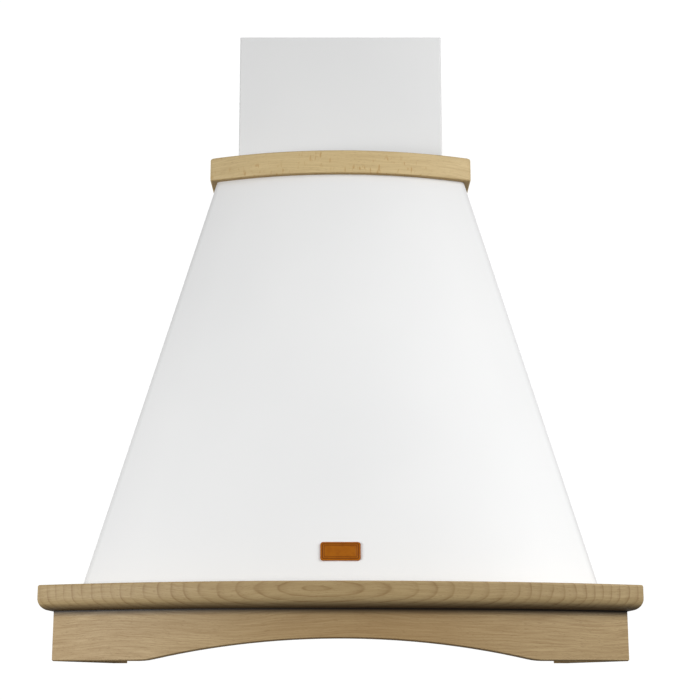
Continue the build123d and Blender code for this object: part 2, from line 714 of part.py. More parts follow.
def make_badge():
    """Curved label that lies on the dome's front."""
    span = BADGE_HEIGHT
    low, high = BADGE_CENTRE_HEIGHT - span, BADGE_CENTRE_HEIGHT + span
    skin = dome_solid(-BADGE_THICKNESS, low, high, -SHEET) - dome_solid(0, low, high, -SHEET)
    shape = RectangleRounded(BADGE_WIDTH, BADGE_HEIGHT, BADGE_CORNER_RADIUS)
    cutter = extrude(Plane.XZ * Pos(0, BADGE_CENTRE_HEIGHT) * shape, FAR)
    return skin & cutter


# Bottom pan and what it carries

FILTER_BOTTOM = PAN_BOTTOM + FILTER_DROP
FILTER_TOP = FILTER_BOTTOM + FILTER_THICKNESS
OPENING_FRONT_Y = FILTER_FRONT_Y - FILTER_FRONT_GAP
OPENING_REAR_Y = FILTER_REAR_Y + FILTER_REAR_GAP
OPENING_HALF = FILTER_WIDTH / 2 + FILTER_SIDE_GAP
PIVOT_Y = FILTER_REAR_Y - PIVOT_PIN_SETBACK
PIVOT_Z = (FILTER_BOTTOM + FILTER_TOP) / 2
CRADLE_NEAR = OPENING_HALF + CRADLE_SIDE_GAP
FILTER_SIDES = {"left": -1, "right": 1}


def filter_x(side):
    return side * FILTER_SPACING / 2


def pan_screw_places():
    """Round the edge of the pan, under the cornice, pointing up into the wood."""
    row = PAN_ROOM.inset(SCREW_INSET)
    spots = [(0, row.front_y(0))]
    for side in (-1, 1):
        x = row.half_width
        spots += [(side * x, row.corner_y * share) for share in (0.12, 0.5, 0.85)]
        spots.append((side * x / 2, row.front_y(x / 2)))
    return [Location((x, y, PAN_BOTTOM)) for x, y in spots]


def dome_screw_places():
    """Along the dome's foot flange, heads up, pointing down into the cornice."""
    row = DOME_FOOT.inset(DOME_FLANGE / 2 + SHEET)
    spots = []
    for side in (-1, 1):
        x = row.half_width
        spots += [(side * x, row.corner_y * share) for share in (0.2, 0.8)]
        spots.append((side * x / 2, row.front_y(x / 2)))
    turn = (180, 0, 0)
    return [Location((x, y, CORNICE_TOP + SHEET), turn) for x, y in spots]


def make_bottom_pan():
    outline = PAN_ROOM.inset(PAN_EDGE_GAP)
    face = outline.face(-PAN_EDGE_GAP)
    for side in FILTER_SIDES.values():
        middle = (OPENING_FRONT_Y + OPENING_REAR_Y) / 2
        length = OPENING_REAR_Y - OPENING_FRONT_Y
        face -= Pos(filter_x(side), middle) * Rectangle(2 * OPENING_HALF, length)
        hole = RectangleRounded(
            LENS_LENGTH - 2 * LENS_RIM, LENS_BREADTH - 2 * LENS_RIM, LENS_CORNER_RADIUS - LENS_RIM / 2
        )
        face -= Pos(side * LAMP_X, LAMP_Y) * hole
    for x, travel in ((SPEED_X, SPEED_TRAVEL), (LIGHT_X, LIGHT_TRAVEL)):
        face -= Pos(x + travel / 2, SWITCH_Y) * slider_slot(travel)
    pan = prism(face, PAN_BOTTOM, PAN_TOP)
    hem_z = (PAN_TOP, PAN_TOP + PAN_HEM_HEIGHT)
    hem_y = (OPENING_FRONT_Y + SCREW_INSET, PIVOT_Y - CRADLE_BREADTH)
    for side in FILTER_SIDES.values():
        for edge in (-1, 1):
            inner = filter_x(side) + edge * OPENING_HALF
            outer = inner + edge * SHEET
            pan += block(sorted((inner, outer)), hem_y, hem_z)
    return drilled(pan, pan_screw_places(), WOOD_SCREW_RADIUS, 2 * SHEET)


def make_filter_frame(side):
    """Folded frame with a groove for the mesh, pivot pins behind and a latch pocket in front."""
    x = filter_x(side)
    half = FILTER_WIDTH / 2
    y = (FILTER_FRONT_Y, FILTER_REAR_Y)
    frame = block((x - half, x + half), y, (FILTER_BOTTOM, FILTER_TOP))
    frame = fillet(frame.edges().filter_by(Axis.Z), FILTER_LIP)
    window_x, window_y, groove_x, groove_y, groove_z = mesh_limits(side)
    frame -= block(window_x, window_y, (FILTER_BOTTOM - SHEET, FILTER_TOP + SHEET))
    frame -= block(groove_x, groove_y, groove_z)
    reach = half + FILTER_SIDE_GAP + CRADLE_SIDE_GAP + CRADLE_THICKNESS + SEAT_GAP
    for edge in (-1, 1):
        start = (x + edge * (half - FILTER_RAIL / 2), PIVOT_Y, PIVOT_Z)
        frame += rod(start, (x + edge * reach, PIVOT_Y, PIVOT_Z), PIVOT_PIN_RADIUS)
    for cut in latch_pocket(side):
        frame -= cut
    return frame


def mesh_limits(side):
    """Limits of the frame's window and of the groove that holds the mesh."""
    x = filter_x(side)
    window = FILTER_WIDTH / 2 - FILTER_RAIL
    groove = window + FILTER_LIP
    front = FILTER_FRONT_Y + FILTER_FRONT_RAIL
    rear = FILTER_REAR_Y - FILTER_RAIL
    return (
        (x - window, x + window),
        (front + FILTER_LIP, rear - FILTER_LIP),
        (x - groove, x + groove),
        (front, rear),
        (FILTER_BOTTOM + FILTER_SKIN, FILTER_TOP - FILTER_SKIN),
    )


def make_filter_mesh(side):
    """Pressed mesh pack with diamond openings, held all round in the frame's groove."""
    window_x, window_y, groove_x, groove_y, groove_z = mesh_limits(side)
    pack = block(groove_x, groove_y, groove_z)
    step_x = (window_x[1] - window_x[0]) / MESH_COLUMNS
    step_y = (window_y[1] - window_y[0]) / MESH_ROWS
    half_x, half_y = (step_x - MESH_STRAND) / 2, (step_y - MESH_STRAND) / 2
    diamond = Polygon((-half_x, 0), (0, -half_y), (half_x, 0), (0, half_y), align=None)
    spots = []
    for stagger in (0, 1):
        for column in range(MESH_COLUMNS - stagger):
            for row in range(MESH_ROWS - stagger):
                x = window_x[0] + (column + 0.5 + stagger / 2) * step_x
                y = window_y[0] + (row + 0.5 + stagger / 2) * step_y
                spots.append(Pos(x, y))
    holes = Sketch() + [spot * diamond for spot in spots]
    return pack - prism(holes, FILTER_BOTTOM, FILTER_TOP)


def make_cradles():
    """Four open cradles on the pan that the filters' pins drop into."""
    cradles = []
    tall = PIVOT_Z + 2 * PIVOT_PIN_RADIUS
    y = (PIVOT_Y - CRADLE_BREADTH / 2, PIVOT_Y + CRADLE_BREADTH / 2)
    slot = PIVOT_PIN_RADIUS + PIVOT_PLAY
    for side in FILTER_SIDES.values():
        for edge in (-1, 1):
            near = filter_x(side) + edge * CRADLE_NEAR
            far = near + edge * CRADLE_THICKNESS
            foot = far + edge * CRADLE_FOOT
            plate = block(sorted((near, far)), y, (PAN_TOP, tall))
            plate += block(sorted((near, foot)), y, (PAN_TOP, PAN_TOP + CRADLE_THICKNESS / 2))
            plate -= rod((near - edge, PIVOT_Y, PIVOT_Z), (far + edge, PIVOT_Y, PIVOT_Z), slot)
            mouth = (PIVOT_Y - slot, PIVOT_Y + slot)
            plate -= block(sorted((near - edge, far + edge)), mouth, (PIVOT_Z, tall + SHEET))
            cradles.append(plate)
    return Compound(children=cradles)


# Filter latch: tongue, body in the pocket, stem through the frame and grip below it

POCKET_BOTTOM = FILTER_BOTTOM + SHEET
TONGUE_Y = FILTER_FRONT_Y - FILTER_FRONT_GAP - LATCH_REACH
LATCH_FRONT_Y = FILTER_FRONT_Y + LATCH_FRONT_WALL + LATCH_PLAY
LATCH_REAR_Y = LATCH_FRONT_Y + LATCH_LENGTH
POCKET_REAR_Y = LATCH_REAR_Y + LATCH_TRAVEL + 2 * SHEET
LATCH_BOTTOM = POCKET_BOTTOM + LATCH_PLAY / 2
STEM_FRONT_Y = LATCH_FRONT_Y + LATCH_LENGTH / 4


def latch_pocket(side):
    x = filter_x(side)
    wide = LATCH_WIDTH / 2 + LATCH_PLAY
    tongue = TONGUE_WIDTH / 2 + LATCH_PLAY
    stem = LATCH_STEM_WIDTH / 2 + LATCH_PLAY
    top = LATCH_BOTTOM + LATCH_HEIGHT + LATCH_PLAY
    tongue_top = LATCH_BOTTOM + TONGUE_THICKNESS + LATCH_PLAY
    front = FILTER_FRONT_Y + LATCH_FRONT_WALL
    stem_y = (STEM_FRONT_Y - LATCH_PLAY, STEM_FRONT_Y + LATCH_STEM_LENGTH + LATCH_TRAVEL + LATCH_PLAY)
    return [
        block((x - wide, x + wide), (front, POCKET_REAR_Y), (POCKET_BOTTOM, top)),
        block((x - tongue, x + tongue), (FILTER_FRONT_Y - 1, front), (POCKET_BOTTOM, tongue_top)),
        block((x - stem, x + stem), stem_y, (FILTER_BOTTOM - 1, POCKET_BOTTOM)),
    ]


def make_latch(side):
    x = filter_x(side)
    wide, tongue, stem, grip = (
        size / 2 for size in (LATCH_WIDTH, TONGUE_WIDTH, LATCH_STEM_WIDTH, LATCH_GRIP_WIDTH)
    )
    top = LATCH_BOTTOM + LATCH_HEIGHT
    grip_top = FILTER_BOTTOM - LATCH_PLAY
    stem_rear = STEM_FRONT_Y + LATCH_STEM_LENGTH
    middle = (STEM_FRONT_Y + stem_rear) / 2
    body = block((x - wide, x + wide), (LATCH_FRONT_Y, LATCH_REAR_Y), (LATCH_BOTTOM, top))
    bolt = block(
        (x - tongue, x + tongue),
        (TONGUE_Y, LATCH_FRONT_Y),
        (LATCH_BOTTOM, LATCH_BOTTOM + TONGUE_THICKNESS),
    )
    tip = bolt.edges().group_by(Axis.Y)[0].sort_by(Axis.Z)[-1]
    bolt = chamfer(tip, 0.6 * TONGUE_THICKNESS)
    neck = block((x - stem, x + stem), (STEM_FRONT_Y, stem_rear), (grip_top, LATCH_BOTTOM))
    handle = block(
        (x - grip, x + grip),
        (middle - LATCH_GRIP_LENGTH / 2, middle + LATCH_GRIP_LENGTH / 2),
        (grip_top - LATCH_GRIP_HEIGHT, grip_top),
    )
    handle = fillet(handle.edges().filter_by(Axis.Z), LATCH_GRIP_LENGTH / 4)
    groove_y = middle + LATCH_GRIP_LENGTH / 2
    hollow = rod(
        (x - grip, groove_y, grip_top - LATCH_GRIP_HEIGHT),
        (x + grip, groove_y, grip_top - LATCH_GRIP_HEIGHT),
        LATCH_GRIP_HEIGHT * 0.7,
    )
    return body + bolt + neck + (handle - hollow)


# Lamps

LENS_BOTTOM = PAN_BOTTOM - LENS_THICKNESS
LAMP_AXIS_Z = PAN_TOP + LAMP_AXIS_RISE


def make_lens(side):
    """Frosted cover: a shallow dish below the pan with a rim that snaps up into its hole."""
    place = Pos(side * LAMP_X, LAMP_Y)
    dish = prism(
        place * RectangleRounded(LENS_LENGTH, LENS_BREADTH, LENS_CORNER_RADIUS), LENS_BOTTOM, PAN_BOTTOM
    )
    dish = fillet(dish.edges().group_by(Axis.Z)[0], LENS_THICKNESS * 0.7)
    shrink = LENS_RIM + LENS_HOLE_GAP
    corner = LENS_CORNER_RADIUS - LENS_RIM / 2
    rim = RectangleRounded(LENS_LENGTH - 2 * shrink, LENS_BREADTH - 2 * shrink, corner)
    shrink += LENS_WALL
    corner -= LENS_WALL / 2
    rim -= RectangleRounded(LENS_LENGTH - 2 * shrink, LENS_BREADTH - 2 * shrink, corner)
    return dish + prism(place * rim, PAN_BOTTOM, PAN_BOTTOM + LENS_RISE)


def lamp_plane(side):
    """Section plane of a lamp: local X runs outwards along the lamp's axis from the glass tip."""
    tip = LAMP_X - BULB_LENGTH / 2 - CAP_LENGTH / 2
    return Plane(origin=(side * tip, LAMP_Y, LAMP_AXIS_Z), x_dir=(side, 0, 0), z_dir=(0, -side, 0))


def lamp_axis(side):
    return Axis((side * LAMP_X, LAMP_Y, LAMP_AXIS_Z), (1, 0, 0))


def make_bulb(side):
    """Round-nosed glass that tapers to a plain screw cap."""
    length, radius, cap = BULB_LENGTH, BULB_RADIUS, CAP_RADIUS
    outline = make_face(
        [
            ThreePointArc((0, 0), (radius - radius * sqrt(0.5), radius * sqrt(0.5)), (radius, radius)),
            TangentArc((radius, radius), (length, cap), tangent=(1, 0)),
            Line((length, cap), (length + CAP_LENGTH, cap)),
            Line((length + CAP_LENGTH, cap), (length + CAP_LENGTH, 0)),
            Line((length + CAP_LENGTH, 0), (0, 0)),
        ]
    )
    return revolve(lamp_plane(side) * outline, lamp_axis(side))


def make_lamp_holder(side):
    """Socket on a foot that stands on the pan."""
    start = BULB_LENGTH + SEAT_GAP
    end = start + HOLDER_LENGTH
    socket = CAP_RADIUS + SEAT_GAP
    depth = start + CAP_LENGTH
    outline = make_face(
        Polyline(
            (start, socket),
            (start, HOLDER_RADIUS),
            (end - HOLDER_RADIUS / 2, HOLDER_RADIUS),
            (end, HOLDER_RADIUS / 2),
            (end, 0),
            (depth, 0),
            (depth, socket),
            close=True,
        )
    )
    holder = revolve(lamp_plane(side) * outline, lamp_axis(side))
    tip = LAMP_X - BULB_LENGTH / 2 - CAP_LENGTH / 2
    x_foot = side * (tip + depth + SEAT_GAP)
    foot = block(
        sorted((x_foot, x_foot + side * HOLDER_FOOT_THICKNESS)),
        (LAMP_Y - HOLDER_FOOT_BREADTH / 2, LAMP_Y + HOLDER_FOOT_BREADTH / 2),
        (PAN_TOP, LAMP_AXIS_Z),
    )
    return holder + foot


# Slide switches

KNOB_TOP = PAN_BOTTOM - PLATE_THICKNESS - SLIDER_PLAY
STEM_TOP = PAN_TOP + SWITCH_BOX_WALL


def slider_slot(travel):
    """Opening that a slider's stem runs in."""
    return Rectangle(SLIDER_STEM + travel + 2 * SLIDER_PLAY, SLIDER_STEM + 2 * SLIDER_PLAY)


def make_control_plate():
    face = Pos(0, SWITCH_Y) * RectangleRounded(PLATE_LENGTH, PLATE_BREADTH, PLATE_CORNER_RADIUS)
    for x, travel in ((SPEED_X, SPEED_TRAVEL), (LIGHT_X, LIGHT_TRAVEL)):
        face -= Pos(x + travel / 2, SWITCH_Y) * slider_slot(travel)
    return prism(face, PAN_BOTTOM - PLATE_THICKNESS, PAN_BOTTOM)


def make_switch_box():
    """Cover over the switch contacts, standing on the pan."""
    y = (SWITCH_Y - SWITCH_BOX_BREADTH / 2, SWITCH_Y + SWITCH_BOX_BREADTH / 2)
    x = (-SWITCH_BOX_LENGTH / 2, SWITCH_BOX_LENGTH / 2)
    box = block(x, y, (PAN_TOP, PAN_TOP + SWITCH_BOX_HEIGHT))
    box = fillet(box.edges().filter_by(Axis.Z), SWITCH_BOX_WALL)
    inner_x, inner_y = ((low + SWITCH_BOX_WALL, high - SWITCH_BOX_WALL) for low, high in (x, y))
    hollow = (PAN_TOP - 1, PAN_TOP + SWITCH_BOX_HEIGHT - SWITCH_BOX_WALL)
    return box - block(inner_x, inner_y, hollow)


def make_slider(x):
    """Ribbed knob below the plate on a stem that ends in a foot inside the switch box."""
    stem = SLIDER_STEM / 2
    long, wide = SLIDER_KNOB_LENGTH / 2, SLIDER_KNOB_BREADTH / 2
    knob_x, knob_y = (x - long, x + long), (SWITCH_Y - wide, SWITCH_Y + wide)
    knob = block(knob_x, knob_y, (KNOB_TOP - SLIDER_KNOB_HEIGHT, KNOB_TOP))
    knob = fillet(knob.edges().group_by(Axis.Z)[0], SLIDER_KNOB_HEIGHT / 5)
    pitch = SLIDER_KNOB_LENGTH / (SLIDER_RIBS + 1)
    for rib in range(SLIDER_RIBS):
        rib_x = x - long + (rib + 1) * pitch
        low = KNOB_TOP - SLIDER_KNOB_HEIGHT
        knob -= rod((rib_x, SWITCH_Y - FAR, low), (rib_x, SWITCH_Y + FAR, low), pitch / 3)
    post = block((x - stem, x + stem), (SWITCH_Y - stem, SWITCH_Y + stem), (KNOB_TOP, STEM_TOP))
    shoe = block(knob_x, knob_y, (PAN_TOP + SLIDER_PLAY, STEM_TOP))
    return knob + post + shoe


# Blower

OUTLET_SPAN = SCROLL_GROWTH / 2 + SCROLL_START_RADIUS + 2 * SCROLL_GROWTH
BLOWER_Y = DUCT_CENTRE_Y - OUTLET_SPAN / 2
OUTLET_Z = BLOWER_HEIGHT + SCROLL_OUTLET_RISE
BLOWER_PLANE = Plane(origin=(0, BLOWER_Y, BLOWER_HEIGHT), x_dir=(0, 1, 0), z_dir=(1, 0, 0))


def scroll_face(grow):
    """Air space of the scroll, moved outwards by grow: three quarter arcs that grow towards
    an upward outlet, and a rounded tongue between outlet and first arc."""
    half, first = SCROLL_GROWTH / 2, SCROLL_START_RADIUS + grow
    second, third = first + SCROLL_GROWTH, first + 2 * SCROLL_GROWTH
    tongue = SCROLL_RIM + SCROLL_TONGUE_TIP - grow
    turn = sqrt(0.5)
    front = (-half - first, -half)
    bottom = (half, -half - second)
    rear = (half + third, half)
    top = (-half, first - half)
    lip = (top[0] + tongue, top[1] + tongue)
    return make_face(
        [
            Line((lip[0], SCROLL_OUTLET_RISE), lip),
            ThreePointArc(lip, (top[0] + tongue * turn, lip[1] - tongue * turn), top),
            ThreePointArc(top, (-half - first * turn, -half + first * turn), front),
            ThreePointArc(front, (half - second * turn, -half - second * turn), bottom),
            ThreePointArc(bottom, (half + third * turn, half - third * turn), rear),
            Line(rear, (rear[0], SCROLL_OUTLET_RISE)),
            Line((rear[0], SCROLL_OUTLET_RISE), (lip[0], SCROLL_OUTLET_RISE)),
        ]
    )


def outlet_face(grow):
    """Plan of the scroll's mouth, moved outwards by grow."""
    size = Rectangle(2 * (SCROLL_HALF_WIDTH - SCROLL_WALL + grow), OUTLET_SPAN + 2 * grow)
    return Pos(0, DUCT_CENTRE_Y) * size


def half_plan(side):
    """Everything on one side of the middle plane, in plan."""
    return Pos(side * FAR / 2, 0) * Rectangle(FAR, 2 * FAR)


def make_scroll_half(side):
    """Moulded half of the scroll with its inlet mouth and the rim that joins the halves."""
    direction = side * SCROLL_HALF_WIDTH
    shell = extrude(BLOWER_PLANE * scroll_face(SCROLL_WALL), direction)
    rim = extrude(BLOWER_PLANE * scroll_face(SCROLL_RIM), side * SCROLL_WALL)
    shell += rim
    flange = outlet_face(SCROLL_WALL + OUTLET_FLANGE) & half_plan(side)
    shell += prism(flange, OUTLET_Z - SCROLL_WALL, OUTLET_Z)
    shell -= extrude(BLOWER_PLANE * scroll_face(0), direction - side * SCROLL_WALL)
    x_in, x_out = side * (SCROLL_HALF_WIDTH - SCROLL_WALL), side * SCROLL_HALF_WIDTH
    lip = INLET_LIP
    axis_at = (BLOWER_Y, BLOWER_HEIGHT)
    shell += rod((x_in - side * lip, *axis_at), (x_out, *axis_at), INLET_RADIUS + SCROLL_WALL)
    shell -= rod((x_in - side * 2 * lip, *axis_at), (x_out + side, *axis_at), INLET_RADIUS)
    if side < 0:
        shell = drilled(shell, bush_places(), BUSH_BORE_RADIUS, 3 * SCROLL_WALL)
    return shell


def bush_places():
    """Seats of the rubber bushes on the left end wall, pointing inwards along +X."""
    places = []
    for arm in range(BRACKET_ARMS):
        angle = 2 * pi * arm / BRACKET_ARMS + pi / 2
        y = BLOWER_Y + BUSH_CIRCLE_RADIUS * cos(angle)
        z = BLOWER_HEIGHT + BUSH_CIRCLE_RADIUS * sin(angle)
        places.append(Plane(origin=(-SCROLL_HALF_WIDTH, y, z), z_dir=(1, 0, 0)).location)
    return places


def make_impeller():
    """Forward-curved blade ring on a centre disc, with a hub for the shaft."""
    half = IMPELLER_HALF_WIDTH
    disc = extrude(BLOWER_PLANE * Circle(IMPELLER_RADIUS), IMPELLER_DISC / 2, both=True)
    hub = extrude(BLOWER_PLANE * Circle(HUB_RADIUS), HUB_LENGTH / 2, both=True)
    ring = Circle(IMPELLER_RADIUS) - Circle(IMPELLER_RADIUS - BLADE_DEPTH / 2)
    wheel = disc + hub
    for side in (-1, 1):
        start = BLOWER_PLANE.offset(side * (half - IMPELLER_RING_LENGTH / 2))
        wheel += extrude(start * ring, IMPELLER_RING_LENGTH / 2, both=True)
    inner, outer = IMPELLER_RADIUS - BLADE_DEPTH, IMPELLER_RADIUS - BLADE_THICKNESS / 2
    lean = radians(BLADE_LEAN_DEG)
    middle = (inner + outer) / 2
    curve = ThreePointArc(
        (inner, 0), (middle * cos(lean / 4), middle * sin(lean / 4)), (outer * cos(lean), outer * sin(lean))
    )
    blade = trace(curve, BLADE_THICKNESS)
    blades = Sketch() + [Rot(0, 0, 360 * n / BLADE_COUNT) * blade for n in range(BLADE_COUNT)]
    wheel += extrude(BLOWER_PLANE * blades, half - IMPELLER_RING_LENGTH / 2, both=True)
    return wheel - extrude(BLOWER_PLANE * Circle(SHAFT_RADIUS), HUB_LENGTH, both=True)


MOTOR_RIGHT_X = -HUB_LENGTH / 2 - MOTOR_HUB_GAP
MOTOR_LEFT_X = MOTOR_RIGHT_X - MOTOR_LENGTH
SHAFT_RIGHT_X = HUB_LENGTH / 2 + MOTOR_HUB_GAP / 2


def make_motor_shaft():
    return rod(
        (SHAFT_RIGHT_X - SHAFT_LENGTH, BLOWER_Y, BLOWER_HEIGHT),
        (SHAFT_RIGHT_X, BLOWER_Y, BLOWER_HEIGHT),
        SHAFT_RADIUS,
    )


def make_motor():
    centre = (BLOWER_Y, BLOWER_HEIGHT)
    body = rod((MOTOR_LEFT_X, *centre), (MOTOR_RIGHT_X, *centre), MOTOR_RADIUS)
    body = fillet(body.edges().filter_by(GeomType.CIRCLE), MOTOR_EDGE_RADIUS)
    bore_left = SHAFT_RIGHT_X - SHAFT_LENGTH - SEAT_GAP
    bore = rod((bore_left, *centre), (MOTOR_RIGHT_X + 1, *centre), SHAFT_RADIUS + SHAFT_PLAY)
    band_left = MOTOR_LEFT_X + (MOTOR_LENGTH - MOTOR_BAND) / 2
    band_ends = (band_left, *centre), (band_left + MOTOR_BAND, *centre)
    return body + rod(*band_ends, MOTOR_RADIUS + MOTOR_BAND_RISE) - bore


def make_motor_bracket():
    """Three-armed spider that carries the motor across the left inlet."""
    plane = BLOWER_PLANE.offset(MOTOR_LEFT_X)
    face = Circle(BRACKET_DISC_RADIUS)
    for arm in range(BRACKET_ARMS):
        angle = 360 * arm / BRACKET_ARMS + 90
        bar = Pos(BUSH_CIRCLE_RADIUS / 2, 0) * Rectangle(BUSH_CIRCLE_RADIUS, BRACKET_ARM_WIDTH)
        eye = Pos(BUSH_CIRCLE_RADIUS, 0) * Circle(BRACKET_ARM_WIDTH / 2)
        hole = Pos(BUSH_CIRCLE_RADIUS, 0) * Circle(BUSH_BORE_RADIUS)
        face = face + Rot(0, 0, angle) * (bar + eye)
        face = face - Rot(0, 0, angle) * hole
    return extrude(plane * face, -BRACKET_SHEET)


def make_motor_bushes():
    """Rubber bushes between the scroll's left wall and the bracket's arms."""
    length = -SCROLL_HALF_WIDTH - MOTOR_LEFT_X
    bush = Cylinder(BUSH_RADIUS, length) - Cylinder(BUSH_BORE_RADIUS, length)
    return at([place * Pos(0, 0, -length / 2) for place in bush_places()], bush)


def make_bush_screws():
    grip = BRACKET_SHEET - SCROLL_HALF_WIDTH - MOTOR_LEFT_X
    pin = screw(
        2 * BUSH_BORE_RADIUS, SHEET_SCREW_HEAD, BUSH_BORE_RADIUS, grip + SCROLL_WALL
    )
    return at([place * Pos(0, 0, -grip) for place in bush_places()], pin)


# Outlet transition, from the scroll's oblong mouth to the round hole in the top plate


def blower_screw_places():
    """Heads on the spigot's flange, pointing down through plate and transition."""
    reach = SPIGOT_FLANGE_SIDE / 2 - SCREW_INSET
    z = PLATE_TOP + SPIGOT_FLANGE_THICKNESS
    return [
        Location((sx * reach, DUCT_CENTRE_Y + sy * reach, z), (180, 0, 0))
        for sx in (-1, 1)
        for sy in (-1, 1)
    ]


def transition_body(grow):
    """Loft from the oblong mouth to the round outlet, moved outwards by grow."""
    round_end = Circle(SPIGOT_RADIUS - SPIGOT_WALL + grow)
    return loft(
        [
            Pos(0, 0, OUTLET_Z) * outlet_face(grow),
            Pos(0, DUCT_CENTRE_Y, PLATE_BOTTOM) * round_end,
        ]
    )


def make_transition():
    body = transition_body(TRANSITION_WALL)
    foot = outlet_face(TRANSITION_WALL + OUTLET_FLANGE)
    body += prism(foot, OUTLET_Z, OUTLET_Z + TRANSITION_WALL)
    flange = RectangleRounded(SPIGOT_FLANGE_SIDE, SPIGOT_FLANGE_SIDE, 2 * SCREW_INSET)
    body += prism(Pos(0, DUCT_CENTRE_Y) * flange, PLATE_BOTTOM - TRANSITION_FLANGE, PLATE_BOTTOM)
    body -= transition_body(0)
    return drilled(body, blower_screw_places(), SHEET_SCREW_RADIUS, BLOWER_SCREW_LENGTH)


# Electrical pieces


def make_terminal_box():
    wide, deep, tall = TERMINAL_BOX_SIZE
    x = (TERMINAL_BOX_X - wide / 2, TERMINAL_BOX_X + wide / 2)
    z = (TERMINAL_BOX_HEIGHT, TERMINAL_BOX_HEIGHT + tall)
    box = block(x, (-SHEET - deep, -SHEET), z)
    box = fillet(box.edges().filter_by(Axis.Y), 2 * SHEET)
    hollow = [(low + TERMINAL_LID, high - TERMINAL_LID) for low, high in (x, z)]
    return box - block(hollow[0], (-SHEET - deep - 1, -SHEET - TERMINAL_LID), hollow[1])


def make_terminal_lid():
    wide, deep, tall = TERMINAL_BOX_SIZE
    x = (TERMINAL_BOX_X - wide / 2, TERMINAL_BOX_X + wide / 2)
    z = (TERMINAL_BOX_HEIGHT, TERMINAL_BOX_HEIGHT + tall)
    lid = block(x, (-SHEET - deep - TERMINAL_LID, -SHEET - deep), z)
    return fillet(lid.edges().filter_by(Axis.Y), 2 * SHEET)


CAPACITOR_Y = -SHEET - CLIP_SHEET - CAPACITOR_RADIUS


def make_capacitor():
    can = rod(
        (CAPACITOR_X, CAPACITOR_Y, CAPACITOR_HEIGHT),
        (CAPACITOR_X, CAPACITOR_Y, CAPACITOR_HEIGHT + CAPACITOR_LENGTH),
        CAPACITOR_RADIUS,
    )
    return fillet(can.edges().filter_by(GeomType.CIRCLE), 2 * CLIP_SHEET)


def make_capacitor_clip():
    """Spring clip round the can, riveted to the back panel."""
    low = CAPACITOR_HEIGHT + (CAPACITOR_LENGTH - CLIP_LENGTH) / 2
    hoop = Circle(CAPACITOR_RADIUS + CLIP_SHEET) - Circle(CAPACITOR_RADIUS)
    mouth = Pos(0, -CAPACITOR_RADIUS) * Rectangle(CAPACITOR_RADIUS, 2 * CAPACITOR_RADIUS)
    pad = Pos(0, CAPACITOR_RADIUS + CLIP_SHEET / 2) * Rectangle(2 * CAPACITOR_RADIUS, CLIP_SHEET)
    section = hoop - mouth + (pad - Circle(CAPACITOR_RADIUS))
    return prism(Pos(CAPACITOR_X, CAPACITOR_Y) * section, low, low + CLIP_LENGTH)


def make_cable_gland():
    """Plastic inlet bush for the mains lead in the top plate, with its nut below."""
    place = Pos(GLAND_X, GLAND_Y)
    gland = prism(place * Circle(GLAND_RADIUS), PLATE_BOTTOM - GLAND_NUT_HEIGHT, PLATE_TOP + GLAND_HEIGHT)
    gland += prism(
        place * RegularPolygon(GLAND_NUT_RADIUS, 6), PLATE_TOP, PLATE_TOP + GLAND_NUT_HEIGHT
    )
    gland += prism(
        place * RegularPolygon(GLAND_NUT_RADIUS, 6), PLATE_BOTTOM - GLAND_NUT_HEIGHT, PLATE_BOTTOM
    )
    crown = gland.edges().group_by(Axis.Z)[-1]
    gland = fillet(crown, GLAND_RADIUS / 4)
    bore = place * Circle(GLAND_BORE_RADIUS)
    return gland - prism(bore, PLATE_BOTTOM - GLAND_HEIGHT, PLATE_TOP + 2 * GLAND_HEIGHT)


def wood_screws(places):
    return at(places, screw(WOOD_SCREW_HEAD_RADIUS, WOOD_SCREW_HEAD, WOOD_SCREW_RADIUS, WOOD_SCREW_LENGTH))


def sheet_screws(places, length):
    return at(places, screw(SHEET_SCREW_HEAD_RADIUS, SHEET_SCREW_HEAD, SHEET_SCREW_RADIUS, length))


